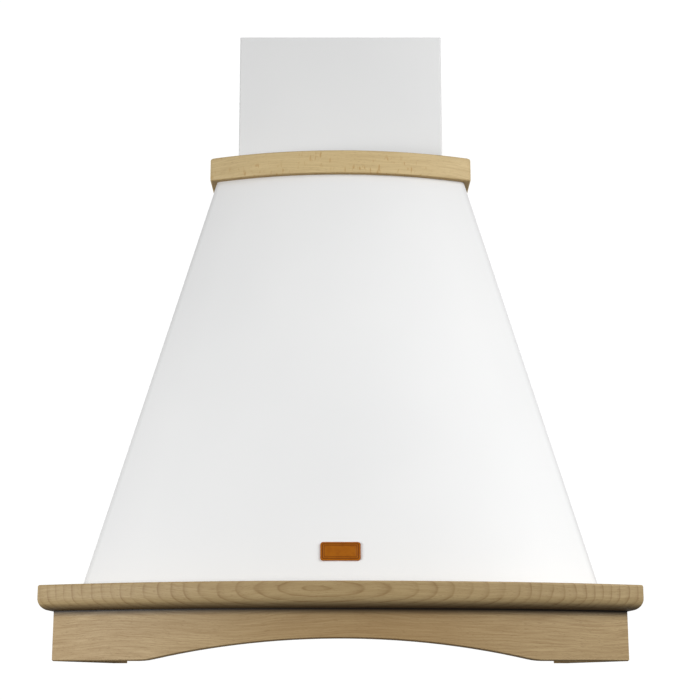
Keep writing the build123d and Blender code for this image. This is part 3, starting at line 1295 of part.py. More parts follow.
def make_all():
    """Every piece of the hood by its node name."""
    nodes = {}
    cornice = make_cornice()
    for name, piece in zip(("front", "left", "right"), cornice):
        with SkipClean():
            piece = drilled(piece, pan_screw_places(), WOOD_SCREW_RADIUS, WOOD_SCREW_LENGTH)
            piece = drilled(piece, dome_screw_places(), WOOD_SCREW_RADIUS, WOOD_SCREW_LENGTH)
        nodes[f"cornice_{name}"] = piece
    for name, piece in zip(("front", "left", "right"), make_apron()):
        nodes[f"apron_{name}"] = piece
    for name, piece in zip(("front", "left", "right"), make_rail()):
        nodes[f"upper_rail_{name}"] = piece
    nodes["corner_blocks"] = make_corner_blocks()
    nodes["dome_shell"] = make_dome_shell()
    nodes["back_panel"] = make_back_panel()
    nodes["top_plate"] = make_top_plate()
    nodes["chimney_cover"] = make_chimney_cover()
    nodes["chimney_extension"] = make_chimney_extension()
    nodes["chimney_feet"] = make_chimney_feet()
    nodes["duct_spigot"] = make_duct_spigot()
    nodes["flap_pins"] = Compound(children=flap_pins())
    nodes["badge"] = make_badge()
    nodes["bottom_pan"] = make_bottom_pan()
    nodes["filter_cradles"] = make_cradles()
    nodes["control_plate"] = make_control_plate()
    nodes["switch_box"] = make_switch_box()
    nodes["speed_slider"] = make_slider(SPEED_X)
    nodes["light_slider"] = make_slider(LIGHT_X)
    for name, side in FILTER_SIDES.items():
        nodes[f"damper_flap_{name}"] = make_flap(side)
        nodes[f"filter_frame_{name}"] = make_filter_frame(side)
        nodes[f"filter_mesh_{name}"] = make_filter_mesh(side)
        nodes[f"filter_latch_{name}"] = make_latch(side)
        nodes[f"lamp_lens_{name}"] = make_lens(side)
        nodes[f"lamp_bulb_{name}"] = make_bulb(side)
        nodes[f"lamp_holder_{name}"] = make_lamp_holder(side)
        nodes[f"scroll_half_{name}"] = make_scroll_half(side)
    nodes["impeller"] = make_impeller()
    nodes["motor_shaft"] = make_motor_shaft()
    nodes["motor"] = make_motor()
    nodes["motor_bracket"] = make_motor_bracket()
    nodes["motor_bushes"] = make_motor_bushes()
    nodes["bush_screws"] = make_bush_screws()
    nodes["outlet_transition"] = make_transition()
    nodes["terminal_box"] = make_terminal_box()
    nodes["terminal_lid"] = make_terminal_lid()
    nodes["capacitor"] = make_capacitor()
    nodes["capacitor_clip"] = make_capacitor_clip()
    nodes["cable_gland"] = make_cable_gland()
    nodes["pan_screws"] = wood_screws(pan_screw_places())
    nodes["dome_screws"] = wood_screws(dome_screw_places())
    nodes["chimney_screws"] = sheet_screws(chimney_screw_places(), CHIMNEY_SHEET + FOOT_SHEET)
    nodes["blower_screws"] = sheet_screws(blower_screw_places(), BLOWER_SCREW_LENGTH)
    return nodes


os.makedirs("parts", exist_ok=True)
for node, shape in make_all().items():
    export_step(Pos(0, 0, -HANG_HEIGHT) * shape, f"parts/{node}.step")
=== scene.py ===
from math import cos, pi, radians, sin, sqrt

import bmesh
import bpy
from mathutils import Matrix, Vector


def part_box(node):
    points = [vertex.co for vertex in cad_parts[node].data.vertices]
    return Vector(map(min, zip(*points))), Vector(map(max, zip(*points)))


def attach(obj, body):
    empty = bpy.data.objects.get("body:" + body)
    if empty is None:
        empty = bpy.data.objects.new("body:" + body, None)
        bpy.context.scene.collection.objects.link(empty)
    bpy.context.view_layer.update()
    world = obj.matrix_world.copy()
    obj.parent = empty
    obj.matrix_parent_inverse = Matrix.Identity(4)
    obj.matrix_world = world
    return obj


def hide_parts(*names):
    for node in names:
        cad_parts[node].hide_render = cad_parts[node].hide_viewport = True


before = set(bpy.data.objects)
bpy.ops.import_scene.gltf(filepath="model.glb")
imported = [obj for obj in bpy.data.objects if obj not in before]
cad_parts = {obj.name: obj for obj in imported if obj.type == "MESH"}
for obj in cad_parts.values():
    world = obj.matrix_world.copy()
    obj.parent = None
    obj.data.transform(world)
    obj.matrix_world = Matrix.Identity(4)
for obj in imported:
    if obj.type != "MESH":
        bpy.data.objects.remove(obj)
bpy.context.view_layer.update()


# Apron: the front board under the cornice and its two side boards, straight-grained beech.
# The front is sawn to the bow and to the shallow arch, then mitred and glued to the sides.
# All are planed and thinly lacquered, with painted shade darkening the faces that look down.
APRON_PALE = (0.462, 0.334, 0.169, 1)
APRON_BROWN = (0.343, 0.230, 0.107, 1)
PORE_BROWN = (0.230, 0.140, 0.060, 1)
# The front board is browner and darker towards its middle.
MIDDLE_BROWN = (0.285, 0.168, 0.065, 1)
MIDDLE_AT = 0.045
MIDDLE_REACH = 0.19
MIDDLE_SHARE = 0.45
# Painted shade: faces that look down are multiplied towards these tints.
APRON_UNDER_SHADE = (0.32, 0.27, 0.19, 1)
UNDER_SHADE_FROM = -1.0
UNDER_SHADE_TO = -0.45
# Painted shadow along the top of the apron, darkening to near black under the cornice's nose.
JOINT_SHADOW_TINT = (0.03, 0.02, 0.01, 1)
JOINT_SHADOW_HEIGHT = 0.0066
JOINT_SHADOW_FULL = 0.88
LONG_WAVE = (0.16, 0.012)
SHORT_WAVE = (0.022, 0.0012)
STREAKS_PER_METRE = (18, 60, 880)
TONES_PER_METRE = (4, 9, 34)
PORES_PER_METRE = (210, 260, 1250)
PORE_DEPTH = 0.00012
BEECH_ROUGHNESS = (0.46, 0.66)
APRON_FRONT_GLOSS = 0.32
APRON_SIDE_GLOSS = 0.0


def finish(name, **constants):
    """New material, with the given constants set on its surface shader."""
    material = bpy.data.materials.new(name)
    material.use_nodes = True
    tree = material.node_tree
    shader = tree.nodes["Principled BSDF"]
    for socket, value in constants.items():
        shader.inputs[socket.replace("_", " ")].default_value = value
    return material, tree, shader


def lay(tree, kind, inputs, **settings):
    """One shader node. Each input is a plain value or a socket that feeds it."""
    node = tree.nodes.new(kind)
    for setting, value in settings.items():
        setattr(node, setting, value)
    for key, value in inputs.items():
        if isinstance(value, bpy.types.NodeSocket):
            tree.links.new(value, node.inputs[key])
        else:
            node.inputs[key].default_value = value
    return node


def on_the_part(tree):
    """Places on the part itself, in metres."""
    return lay(tree, "ShaderNodeTexCoord", {}).outputs["Object"]


def turned(tree, place, degrees=0.0, stretch=(1, 1, 1), shift=(0, 0, 0)):
    """The same places, turned about the vertical and stretched."""
    inputs = {"Vector": place, "Rotation": (0, 0, radians(degrees)), "Scale": stretch, "Location": shift}
    return lay(tree, "ShaderNodeMapping", inputs).outputs[0]


def cloud(tree, place, scale, detail=2.0, roughness=0.5):
    """Soft uneven spots, that many to the metre."""
    inputs = {"Vector": place, "Scale": scale, "Detail": detail, "Roughness": roughness}
    return lay(tree, "ShaderNodeTexNoise", inputs).outputs[0]


def steps(tree, value, *stops):
    """Colour ramp through (position, grey or colour) stops."""
    node = lay(tree, "ShaderNodeValToRGB", {"Fac": value})
    elements = node.color_ramp.elements
    while len(elements) < len(stops):
        elements.new(0.5)
    for element, (position, tone) in zip(elements, stops):
        element.position = position
        element.color = tone if isinstance(tone, tuple) else (tone, tone, tone, 1)
    return node.outputs[0]


def mixed(tree, share, first, second, mode="MIX"):
    """Two colours mixed by a share."""
    inputs = {0: share, 6: first, 7: second}
    return lay(tree, "ShaderNodeMix", inputs, data_type="RGBA", blend_type=mode).outputs[2]


def raised(tree, shader, height, depth):
    """Surface relief of that depth in metres."""
    bump = lay(tree, "ShaderNodeBump", {"Height": height, "Strength": 1.0, "Distance": depth})
    tree.links.new(bump.outputs[0], shader.inputs["Normal"])


def spread(tree, value, low, high):
    """A grey value carried over from 0..1 to low..high."""
    return lay(tree, "ShaderNodeMapRange", {"Value": value, "To Min": low, "To Max": high}).outputs[0]


def reckon(tree, operation, *values):
    """One sum on numbers or on sockets."""
    return lay(tree, "ShaderNodeMath", dict(enumerate(values)), operation=operation).outputs[0]


def swayed(tree, place, length, depth):
    """The same places, lifted and lowered in slow waves of that length."""
    wave = cloud(tree, place, 1 / length, 1.0)
    lift = lay(tree, "ShaderNodeCombineXYZ", {2: spread(tree, wave, -depth, depth)}).outputs[0]
    return lay(tree, "ShaderNodeVectorMath", {0: place, 1: lift}, operation="ADD").outputs[0]


def painted_underside_shade(tree, shader, wood, under):
    """Colours the surface, with painted shade where it looks straight down."""
    facing = lay(tree, "ShaderNodeNewGeometry", {}).outputs["Normal"]
    facing = lay(tree, "ShaderNodeSeparateXYZ", {0: facing}).outputs[2]
    inputs = {"Value": facing, "From Min": UNDER_SHADE_FROM, "From Max": UNDER_SHADE_TO}
    level = lay(tree, "ShaderNodeMapRange", inputs).outputs[0]
    tint = steps(tree, level, (0.0, under), (1.0, 1.0))
    tree.links.new(mixed(tree, 1.0, wood, tint, "MULTIPLY"), shader.inputs["Base Color"])


def dress(material, *nodes):
    """Gives CAD pieces their finish."""
    for node in nodes:
        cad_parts[node].material_slots[0].material = material


def beech(name, turn, pale, brown, pores=0.35, gloss=0.36):
    """Beech with its grain along the board: wavy fine streaks, broad tone and short dark pores."""
    material, tree, shader = finish(name, Specular_IOR_Level=gloss)
    board = turned(tree, on_the_part(tree), turn)
    grain = swayed(tree, swayed(tree, board, *LONG_WAVE), *SHORT_WAVE)
    streak = cloud(tree, turned(tree, grain, stretch=STREAKS_PER_METRE), 1.0, 3.0, 0.6)
    broad = cloud(tree, turned(tree, board, stretch=TONES_PER_METRE), 1.0, 2.0)
    pore = cloud(tree, turned(tree, grain, stretch=PORES_PER_METRE), 1.0, 1.0)
    wood = mixed(tree, steps(tree, streak, (0.36, 0.0), (0.64, 1.0)), pale, brown)
    wood = mixed(tree, steps(tree, broad, (0.40, 0.0), (0.75, 0.45)), wood, brown)
    pore = steps(tree, pore, (0.58, 0.0), (0.72, pores))
    wood = mixed(tree, pore, wood, PORE_BROWN)
    tree.links.new(spread(tree, streak, *BEECH_ROUGHNESS), shader.inputs["Roughness"])
    raised(tree, shader, steps(tree, pore, (0.0, 1.0), (1.0, 0.0)), PORE_DEPTH)
    return material, tree, shader, board, wood


def apron_beech(name, turn, gloss):
    """The apron's beech: browner towards the middle, and painted shadow in the corner under the cornice.
    """
    material, tree, shader, board, wood = beech(name, turn, APRON_PALE, APRON_BROWN, gloss=gloss)
    xyz = lay(tree, "ShaderNodeSeparateXYZ", {0: board})
    off = reckon(tree, "ABSOLUTE", reckon(tree, "SUBTRACT", xyz.outputs[0], MIDDLE_AT))
    inputs = {"Value": off, "From Min": 0.0, "From Max": MIDDLE_REACH, "To Min": MIDDLE_SHARE, "To Max": 0.0}
    toward_middle = lay(tree, "ShaderNodeMapRange", inputs, interpolation_type="SMOOTHSTEP").outputs[0]
    wood = mixed(tree, toward_middle, wood, MIDDLE_BROWN)
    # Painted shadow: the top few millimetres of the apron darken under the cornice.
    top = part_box("apron_front")[1].z
    inputs = {"Value": xyz.outputs[2], "From Min": top - JOINT_SHADOW_HEIGHT, "From Max": top}
    corner = lay(tree, "ShaderNodeMapRange", inputs).outputs[0]
    corner = steps(tree, corner, (0.0, 1.0), (JOINT_SHADOW_FULL, JOINT_SHADOW_TINT))
    painted_underside_shade(tree, shader, mixed(tree, 1.0, wood, corner, "MULTIPLY"), APRON_UNDER_SHADE)
    return material


dress(apron_beech("apron_front_beech", 0, APRON_FRONT_GLOSS), "apron_front")
dress(apron_beech("apron_side_beech", 90, APRON_SIDE_GLOSS), "apron_left", "apron_right")


# Corner blocks: sawn beech offcuts glued into the two front corners, behind the apron's mitres.
# They are left rough from the saw and a little darker than the planed boards.
SAWN_BROWN = (0.300, 0.196, 0.098, 1)
SAWN_PORES = 0.9
sawn_beech, tree, shader, board, wood = beech("sawn_beech", 90, APRON_BROWN, SAWN_BROWN, SAWN_PORES)
# Painted shade darkens the faces that look down.
painted_underside_shade(tree, shader, wood, APRON_UNDER_SHADE)
dress(sawn_beech, "corner_blocks")


# Cornice: three wide flat-sawn beech boards on top of the apron, mitred at the front corners.
# The bowed front cuts through the growth rings, which show as nested curves in the middle
# and as close upright lines towards the ends. The nose is rounded under with a router.
CORNICE_PALE = (0.414, 0.304, 0.152, 1)
CORNICE_BROWN = (0.341, 0.241, 0.112, 1)
# Painted shade on the nose's rounded underside and other faces that look down.
CORNICE_UNDER_SHADE = (0.12, 0.085, 0.042, 1)
CORNICE_PORES = 0.35
CORNICE_GLOSS = 0.30
RING_BROWN = (0.205, 0.118, 0.042, 1)
RING_GAP = 0.0056
RING_WANDER = 3.6
RING_WANDER_SCALE = 0.42
RING_PHASE = 3.1
RING_FADES_PER_METRE = 75.0
RING_TONES = ((0.0, 0.28), (0.07, 0.0), (0.52, 0.0), (0.82, 0.24), (0.94, 0.62), (1.0, 0.50))
FRONT_EYE = Vector((-0.028, -0.4905, -0.4135))
FRONT_FLARE = 0.15
LEFT_EYE = Vector((-0.2, 0.300, -0.4135))
RIGHT_EYE = Vector((-0.2, -0.300, -0.4135))
SIDE_FLARE = 0.10


def ringed_beech(name, turn, eye, flare):
    """Flat-sawn beech: growth rings round a line along the board that opens out from an eye."""
    made = beech(name, turn, CORNICE_PALE, CORNICE_BROWN, CORNICE_PORES, CORNICE_GLOSS)
    material, tree, shader, board, wood = made
    xyz = lay(tree, "ShaderNodeSeparateXYZ", {0: turned(tree, board, shift=-eye)})
    away = reckon(tree, "ABSOLUTE", xyz.outputs[0])
    depth = reckon(tree, "MULTIPLY_ADD", away, flare, xyz.outputs[1])
    rings_at = lay(tree, "ShaderNodeCombineXYZ", {0: xyz.outputs[0], 1: depth, 2: xyz.outputs[2]})
    inputs = {
        "Vector": rings_at.outputs[0],
        "Scale": pi / 10 / RING_GAP,
        "Distortion": RING_WANDER,
        "Detail": 3.0,
        "Detail Scale": RING_WANDER_SCALE,
        "Phase Offset": RING_PHASE,
    }
    settings = {"wave_type": "RINGS", "rings_direction": "X", "wave_profile": "SAW"}
    ring = lay(tree, "ShaderNodeTexWave", inputs, **settings).outputs[1]
    line = steps(tree, ring, *RING_TONES)
    fade = cloud(tree, rings_at.outputs[0], RING_FADES_PER_METRE, 1.0)
    fade = steps(tree, fade, (0.32, 0.35), (0.62, 1.0))
    line = mixed(tree, fade, (0, 0, 0, 1), line)
    # Painted shade darkens the faces that look down, most of all under the nose.
    painted_underside_shade(tree, shader, mixed(tree, line, wood, RING_BROWN), CORNICE_UNDER_SHADE)
    return material


dress(ringed_beech("cornice_front_beech", 0, FRONT_EYE, FRONT_FLARE), "cornice_front")
dress(ringed_beech("cornice_left_beech", 90, LEFT_EYE, SIDE_FLARE), "cornice_left")
dress(ringed_beech("cornice_right_beech", 90, RIGHT_EYE, SIDE_FLARE), "cornice_right")


# Bottom pan: white powder-coated sheet under the cornice, cut out for filters, lamps and switches.
# Nine pan-head screws with a cross recess hold it up against the wood.
PAINT_WHITE = (0.790, 0.792, 0.790, 1)
PAINT_SHADE = (0.765, 0.768, 0.768, 1)
PAINT_GLOSS = 0.45
PAINT_ROUGHNESS = (0.38, 0.52)
PAINT_CLOUDS_PER_METRE = 6.0
PAINT_GRAINS_PER_METRE = 2600.0
PEEL_PER_METRE = 420.0
PEEL_DEPTH = 0.00003
ZINC_PALE = (0.62, 0.63, 0.65, 1)
ZINC_DARK = (0.46, 0.47, 0.49, 1)
ZINC_HAZE_PER_METRE = 900.0
ZINC_ROUGHNESS = (0.24, 0.44)
PAN_SCREW_Z = -0.4322
PAN_FRONT_SCREWS = ((0.0, -0.449), (0.1295, -0.43477), (-0.1295, -0.43477))
PAN_SIDE_ROW = (0.259, -0.38985)
PAN_SIDE_SHARES = (0.12, 0.5, 0.85)
HEAD_RADIUS = 0.0035
HEAD_HEIGHT = 0.0018
HEAD_SIDES = 28
HEAD_OUTLINE = ((1.0, 0.0), (1.0, 0.35), (0.93, 0.66), (0.78, 0.86), (0.55, 0.97), (0.28, 1.0))
HEAD_TURN = 0.7
HEAD_CREASE = radians(35)
RECESS_LENGTH = 0.0042
RECESS_WIDTH = 0.0009
RECESS_FLOOR = 0.35
RECESS_TAPER = 0.6
RECESS_REACH = 1.2


def powder_coat(name, white, shade):
    """Baked paint with a faint orange peel and fine grain."""
    material, tree, shader = finish(name, Specular_IOR_Level=PAINT_GLOSS)
    place = on_the_part(tree)
    peel = cloud(tree, place, PEEL_PER_METRE, 2.0)
    grain = cloud(tree, place, PAINT_GRAINS_PER_METRE, 1.0)
    broad = cloud(tree, place, PAINT_CLOUDS_PER_METRE, 2.0)
    tone = mixed(tree, steps(tree, broad, (0.3, 0.0), (0.7, 1.0)), white, shade)
    tone = mixed(tree, steps(tree, grain, (0.35, 0.0), (0.7, 0.35)), tone, shade)
    tree.links.new(tone, shader.inputs["Base Color"])
    tree.links.new(spread(tree, grain, *PAINT_ROUGHNESS), shader.inputs["Roughness"])
    raised(tree, shader, peel, PEEL_DEPTH)
    return material


def plated(name, pale, dark, haze_per_metre=ZINC_HAZE_PER_METRE):
    """Plated or bare metal, a little cloudy."""
    material, tree, shader = finish(name, Metallic=1.0)
    haze = cloud(tree, on_the_part(tree), haze_per_metre, 3.0)
    tone = mixed(tree, steps(tree, haze, (0.3, 0.0), (0.7, 1.0)), pale, dark)
    tree.links.new(tone, shader.inputs["Base Color"])
    tree.links.new(spread(tree, haze, *ZINC_ROUGHNESS), shader.inputs["Roughness"])
    return material


SCREW_STEEL = plated("screw_zinc", ZINC_PALE, ZINC_DARK)


def piece(name, mesh, material, body):
    """New piece of the hood from a mesh, riding on its body."""
    made = bpy.data.objects.new(name, mesh)
    bpy.context.scene.collection.objects.link(made)
    made.data.materials.append(material)
    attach(made, body)
    return made


def mesh_of(name, form):
    """Turns a form into a mesh and frees the form."""
    mesh = bpy.data.meshes.new(name)
    form.to_mesh(mesh)
    form.free()
    return mesh


def head_blank():
    """Domed head of a pan-head screw, outwards along +Z."""
    form = bmesh.new()
    rings = []
    for share, rise in HEAD_OUTLINE:
        ring = []
        for n in range(HEAD_SIDES):
            angle = 2 * pi * n / HEAD_SIDES
            r = share * HEAD_RADIUS
            ring.append(form.verts.new((r * cos(angle), r * sin(angle), rise * HEAD_HEIGHT)))
        rings.append(ring)
    for low, high in zip(rings, rings[1:]):
        for n in range(HEAD_SIDES):
            after = n + 1 - HEAD_SIDES
            form.faces.new((low[n], low[after], high[after], high[n]))
    form.faces.new(rings[-1])
    form.faces.new(reversed(rings[0]))
    return mesh_of("screw_head", form)


def recess_plug():
    """The cross that is cut out of a head, narrower at its floor."""
    form = bmesh.new()
    half, slim = RECESS_LENGTH / 2, RECESS_WIDTH / 2
    cross = [(half, -slim), (half, slim), (slim, slim), (slim, half), (-slim, half), (-slim, slim)]
    cross += [(-x, -y) for x, y in cross]
    floor, top = RECESS_FLOOR * HEAD_HEIGHT, RECESS_REACH * HEAD_HEIGHT
    low = [form.verts.new((RECESS_TAPER * x, RECESS_TAPER * y, floor)) for x, y in cross]
    high = [form.verts.new((x, y, top)) for x, y in cross]
    form.faces.new(reversed(low))
    form.faces.new(high)
    for n in range(len(cross)):
        form.faces.new((low[n - 1], low[n], high[n], high[n - 1]))
    return mesh_of("cross_recess", form)


def screw_head():
    """The domed head with its cross recess cut in."""
    blank = bpy.data.objects.new("screw_blank", head_blank())
    plug = bpy.data.objects.new("recess_plug", recess_plug())
    for made in (blank, plug):
        bpy.context.scene.collection.objects.link(made)
    cut = blank.modifiers.new("recess", "BOOLEAN")
    cut.object, cut.operation, cut.solver = plug, "DIFFERENCE", "EXACT"
    result = bpy.data.meshes.new_from_object(blank.evaluated_get(bpy.context.evaluated_depsgraph_get()))
    for made in (blank, plug):
        bpy.data.objects.remove(made)
    return result


def screw_set(name, places, node):
    """One head at each place, as one piece that stands for the node's screws."""
    form = bmesh.new()
    head = screw_head()
    for n, place in enumerate(places):
        start = len(form.verts)
        form.from_mesh(head)
        form.verts.ensure_lookup_table()
        turn = Matrix.Rotation(HEAD_TURN * n, 4, "Z")
        bmesh.ops.transform(form, matrix=place @ turn, verts=form.verts[start:])
    mesh = mesh_of(name, form)
    mesh.shade_smooth()
    mesh.set_sharp_from_angle(angle=HEAD_CREASE)
    made = piece(name, mesh, SCREW_STEEL, "housing")
    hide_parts(node)


dress(powder_coat("pan_powder_coat", PAINT_WHITE, PAINT_SHADE), "bottom_pan")
row_x, row_y = PAN_SIDE_ROW
pan_spots = list(PAN_FRONT_SCREWS)
pan_spots += [(side * row_x, row_y * share) for side in (-1, 1) for share in PAN_SIDE_SHARES]
heads_down = Matrix.Rotation(pi, 4, "X")
pan_places = [Matrix.Translation((x, y, PAN_SCREW_Z)) @ heads_down for x, y in pan_spots]
screw_set("pan_screw_heads", pan_places, "pan_screws")


# Filter cradles: four small folded brackets of galvanised sheet, spot-welded to the pan.
# The filters' rear pins drop into their slots. Zinc shows its frost-like spangle.
SPANGLES_PER_METRE = 130.0
SPANGLE_ROUGHNESS = (0.34, 0.52)
SPANGLE_HAZE_PER_METRE = 60.0


def galvanised(name):
    """Hot-dipped zinc: flat crystals of uneven brightness under a thin haze."""
    material, tree, shader = finish(name, Metallic=1.0)
    place = on_the_part(tree)
    inputs = {"Vector": place, "Scale": SPANGLES_PER_METRE, "Randomness": 1.0}
    crystal = lay(tree, "ShaderNodeTexVoronoi", inputs)
    facet = lay(tree, "ShaderNodeSeparateColor", {0: crystal.outputs["Color"]}).outputs[0]
    haze = cloud(tree, place, SPANGLE_HAZE_PER_METRE, 3.0)
    tone = mixed(tree, facet, ZINC_PALE, ZINC_DARK)
    tone = mixed(tree, steps(tree, haze, (0.35, 0.0), (0.75, 0.5)), tone, ZINC_PALE)
    tree.links.new(tone, shader.inputs["Base Color"])
    tree.links.new(spread(tree, facet, *SPANGLE_ROUGHNESS), shader.inputs["Roughness"])
    return material


GALVANISED = galvanised("galvanised_sheet")
dress(GALVANISED, "filter_cradles")


# Grease filters: folded aluminium frames that hold a pack of expanded aluminium mesh.
# The mesh is three slit and stretched sheets laid over each other, clamped in the frame's groove.
FRAME_PALE = (0.70, 0.71, 0.72, 1)
FRAME_DARK = (0.52, 0.53, 0.55, 1)
ROLLED_ROUGHNESS = (0.26, 0.46)
ROLLING_LINES_PER_METRE = (14, 1900, 1900)
ROLLING_DEPTH = 0.00001
MESH_PALE = (0.66, 0.67, 0.68, 1)
MESH_DARK = (0.50, 0.51, 0.52, 1)
MESH_HAZE_PER_METRE = 260.0
MESH_PITCH = 0.0090
MESH_ROW = 0.0052
MESH_WIRE = 0.00042
MESH_LAYERS = (-0.4295, -0.4270, -0.4246)
MESH_MARGIN = Vector((0.001, 0.001, 0))
STRAND_SWING = 0.46
STRAND_LIFT = 0.0004


def rolled_aluminium(name, along):
    """Satin aluminium with fine rolling lines."""
    material, tree, shader = finish(name, Metallic=1.0)
    sheet = turned(tree, on_the_part(tree), along, ROLLING_LINES_PER_METRE)
    lines = cloud(tree, sheet, 1.0, 3.0)
    tone = mixed(tree, steps(tree, lines, (0.3, 0.0), (0.7, 1.0)), FRAME_PALE, FRAME_DARK)
    tree.links.new(tone, shader.inputs["Base Color"])
    tree.links.new(spread(tree, lines, *ROLLED_ROUGHNESS), shader.inputs["Roughness"])
    raised(tree, shader, lines, ROLLING_DEPTH)
    return material


def expanded_mesh(name, low, high):
    """Zigzag strands whose bends meet, in layers, between two corners."""
    weave = bpy.data.curves.new(name, "CURVE")
    weave.dimensions = "3D"
    weave.bevel_depth = MESH_WIRE
    weave.bevel_resolution = 1
    columns = int((high.x - low.x) / MESH_PITCH * 2)
    rows = int((high.y - low.y) / MESH_ROW)
    for layer, z in enumerate(MESH_LAYERS):
        for row in range(rows):
            strand = weave.splines.new("POLY")
            strand.points.add(columns)
            for n, point in enumerate(strand.points):
                swing = STRAND_SWING if (n + row + layer) % 2 else -STRAND_SWING
                lift = STRAND_LIFT if (n + row) % 2 else -STRAND_LIFT
                x = low.x + (high.x - low.x) * n / columns
                y = low.y + (row + 0.5 + swing) * (high.y - low.y) / rows
                point.co = (x, y, z + lift, 1)
    pack = bpy.data.objects.new(name + "_pack", weave)
    bpy.context.scene.collection.objects.link(pack)
    mesh = bpy.data.meshes.new_from_object(pack.evaluated_get(bpy.context.evaluated_depsgraph_get()))
    bpy.data.objects.remove(pack)
    mesh.materials.clear()
    mesh.shade_smooth()
    return mesh


dress(rolled_aluminium("filter_frame_aluminium", 90), "filter_frame_left", "filter_frame_right")
MESH_ALUMINIUM = plated("mesh_aluminium", MESH_PALE, MESH_DARK, MESH_HAZE_PER_METRE)
for side in ("left", "right"):
    low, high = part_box(f"filter_mesh_{side}")
    strands = expanded_mesh(f"filter_strands_{side}", low + MESH_MARGIN, high - MESH_MARGIN)
    strands = piece(f"filter_strands_{side}", strands, MESH_ALUMINIUM, f"filter_{side}")
    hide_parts(f"filter_mesh_{side}")


# Filter latches: mid-grey moulded slides that hold the front edge of each filter.
# They come from the mould with a fine grain, and a spring inside pushes them forward.
LATCH_GREY = (0.165, 0.170, 0.178, 1)
LATCH_DULL = (0.145, 0.150, 0.157, 1)
MOULDED_GLOSS = 0.45
MOULDED_ROUGHNESS = (0.36, 0.52)
MOULDED_CLOUDS_PER_METRE = 24.0
SPARKS_PER_METRE = 1400.0
SPARK_DEPTH = 0.00002


def moulded(name, colour, dull, sparks=SPARKS_PER_METRE, roughness=MOULDED_ROUGHNESS):
    """Moulded plastic with a fine spark grain, between two roughnesses."""
    material, tree, shader = finish(name, Specular_IOR_Level=MOULDED_GLOSS)
    place = on_the_part(tree)
    spark = cloud(tree, place, sparks, 2.0)
    broad = cloud(tree, place, MOULDED_CLOUDS_PER_METRE, 2.0)
    tone = mixed(tree, steps(tree, broad, (0.3, 0.0), (0.75, 1.0)), colour, dull)
    tree.links.new(tone, shader.inputs["Base Color"])
    tree.links.new(spread(tree, spark, *roughness), shader.inputs["Roughness"])
    raised(tree, shader, spark, SPARK_DEPTH)
    return material


GREY_MOULDED = moulded("grey_moulded", LATCH_GREY, LATCH_DULL)
dress(GREY_MOULDED, "filter_latch_left", "filter_latch_right")


# Lamps: a frosted cover that snaps into the pan, an opal bulb above it and a black socket.
# The cover is moulded in clear plastic with a fine frost on its lower face.
LENS_IOR = 1.5
LENS_CLEAR = (0.86, 0.87, 0.86, 1)
LENS_MILK = (0.80, 0.81, 0.80, 1)
LENS_ROUGHNESS = 0.40
LENS_PASSING = 0.55
OPAL = (0.90, 0.88, 0.82, 1)
OPAL_SHADE = (0.86, 0.84, 0.78, 1)
OPAL_ROUGHNESS = 0.12
OPAL_PASSING = 0.15
FROST_PER_METRE = 1700.0
FROST_SPREAD = 0.15
FROST_DEPTH = 0.00003
BLACK = (0.018, 0.018, 0.020, 1)
BLACK_DULL = (0.026, 0.026, 0.028, 1)


def frosted(name, colour, milk, roughness, passing):
    """Frosted plastic or opal glass that lets some of the light through."""
    material, tree, shader = finish(name, IOR=LENS_IOR, Transmission_Weight=passing)
    frost = cloud(tree, on_the_part(tree), FROST_PER_METRE, 2.0)
    tone = mixed(tree, steps(tree, frost, (0.3, 0.0), (0.7, 1.0)), colour, milk)
    tree.links.new(tone, shader.inputs["Base Color"])
    dull = spread(tree, frost, roughness, roughness + FROST_SPREAD)
    tree.links.new(dull, shader.inputs["Roughness"])
    raised(tree, shader, frost, FROST_DEPTH)
    return material


BLACK_MOULDED = moulded("black_moulded", BLACK, BLACK_DULL)
LENS_FROST = frosted("lens_frosted", LENS_CLEAR, LENS_MILK, LENS_ROUGHNESS, LENS_PASSING)
BULB_OPAL = frosted("bulb_opal", OPAL, OPAL_SHADE, OPAL_ROUGHNESS, OPAL_PASSING)
dress(LENS_FROST, "lamp_lens_left", "lamp_lens_right")
dress(BULB_OPAL, "lamp_bulb_left", "lamp_bulb_right")
dress(BLACK_MOULDED, "lamp_holder_left", "lamp_holder_right")


# Switches: a white moulded plate under the pan, two ribbed grey sliders in its slots
# and a black box over the contacts, standing on the pan.
PLATE_WHITE = (0.74, 0.74, 0.72, 1)
PLATE_SHADE = (0.70, 0.70, 0.685, 1)
dress(moulded("plate_white_moulded", PLATE_WHITE, PLATE_SHADE), "control_plate")
dress(GREY_MOULDED, "speed_slider", "light_slider")
dress(BLACK_MOULDED, "switch_box")


# Back panel: flat galvanised sheet against the wall, with two keyholes and two screw holes.
# It closes the dome behind and carries the terminal box and the capacitor.
dress(GALVANISED, "back_panel")


# Dome: white powder-coated sheet steel, rolled to the bow and folded at both front corners.
# Its foot flange is screwed down to the cornice, its crown flange carries the rail and chimney.
# The coat is painted greyer along the two folds, as painted shade.
DOME_FOOT = (0.2615, -0.385, 0.062)
DOME_CROWN = (0.1395, -0.221, 0.027)
DOME_Z = (-0.406, 0.100)
FOLD_SHADE_REACH = 0.045
FOLD_SHADE_TONES = ((0.03, 0.84), (0.08, 0.92), (0.14, 0.975), (0.40, 0.985), (1.0, 1.0))


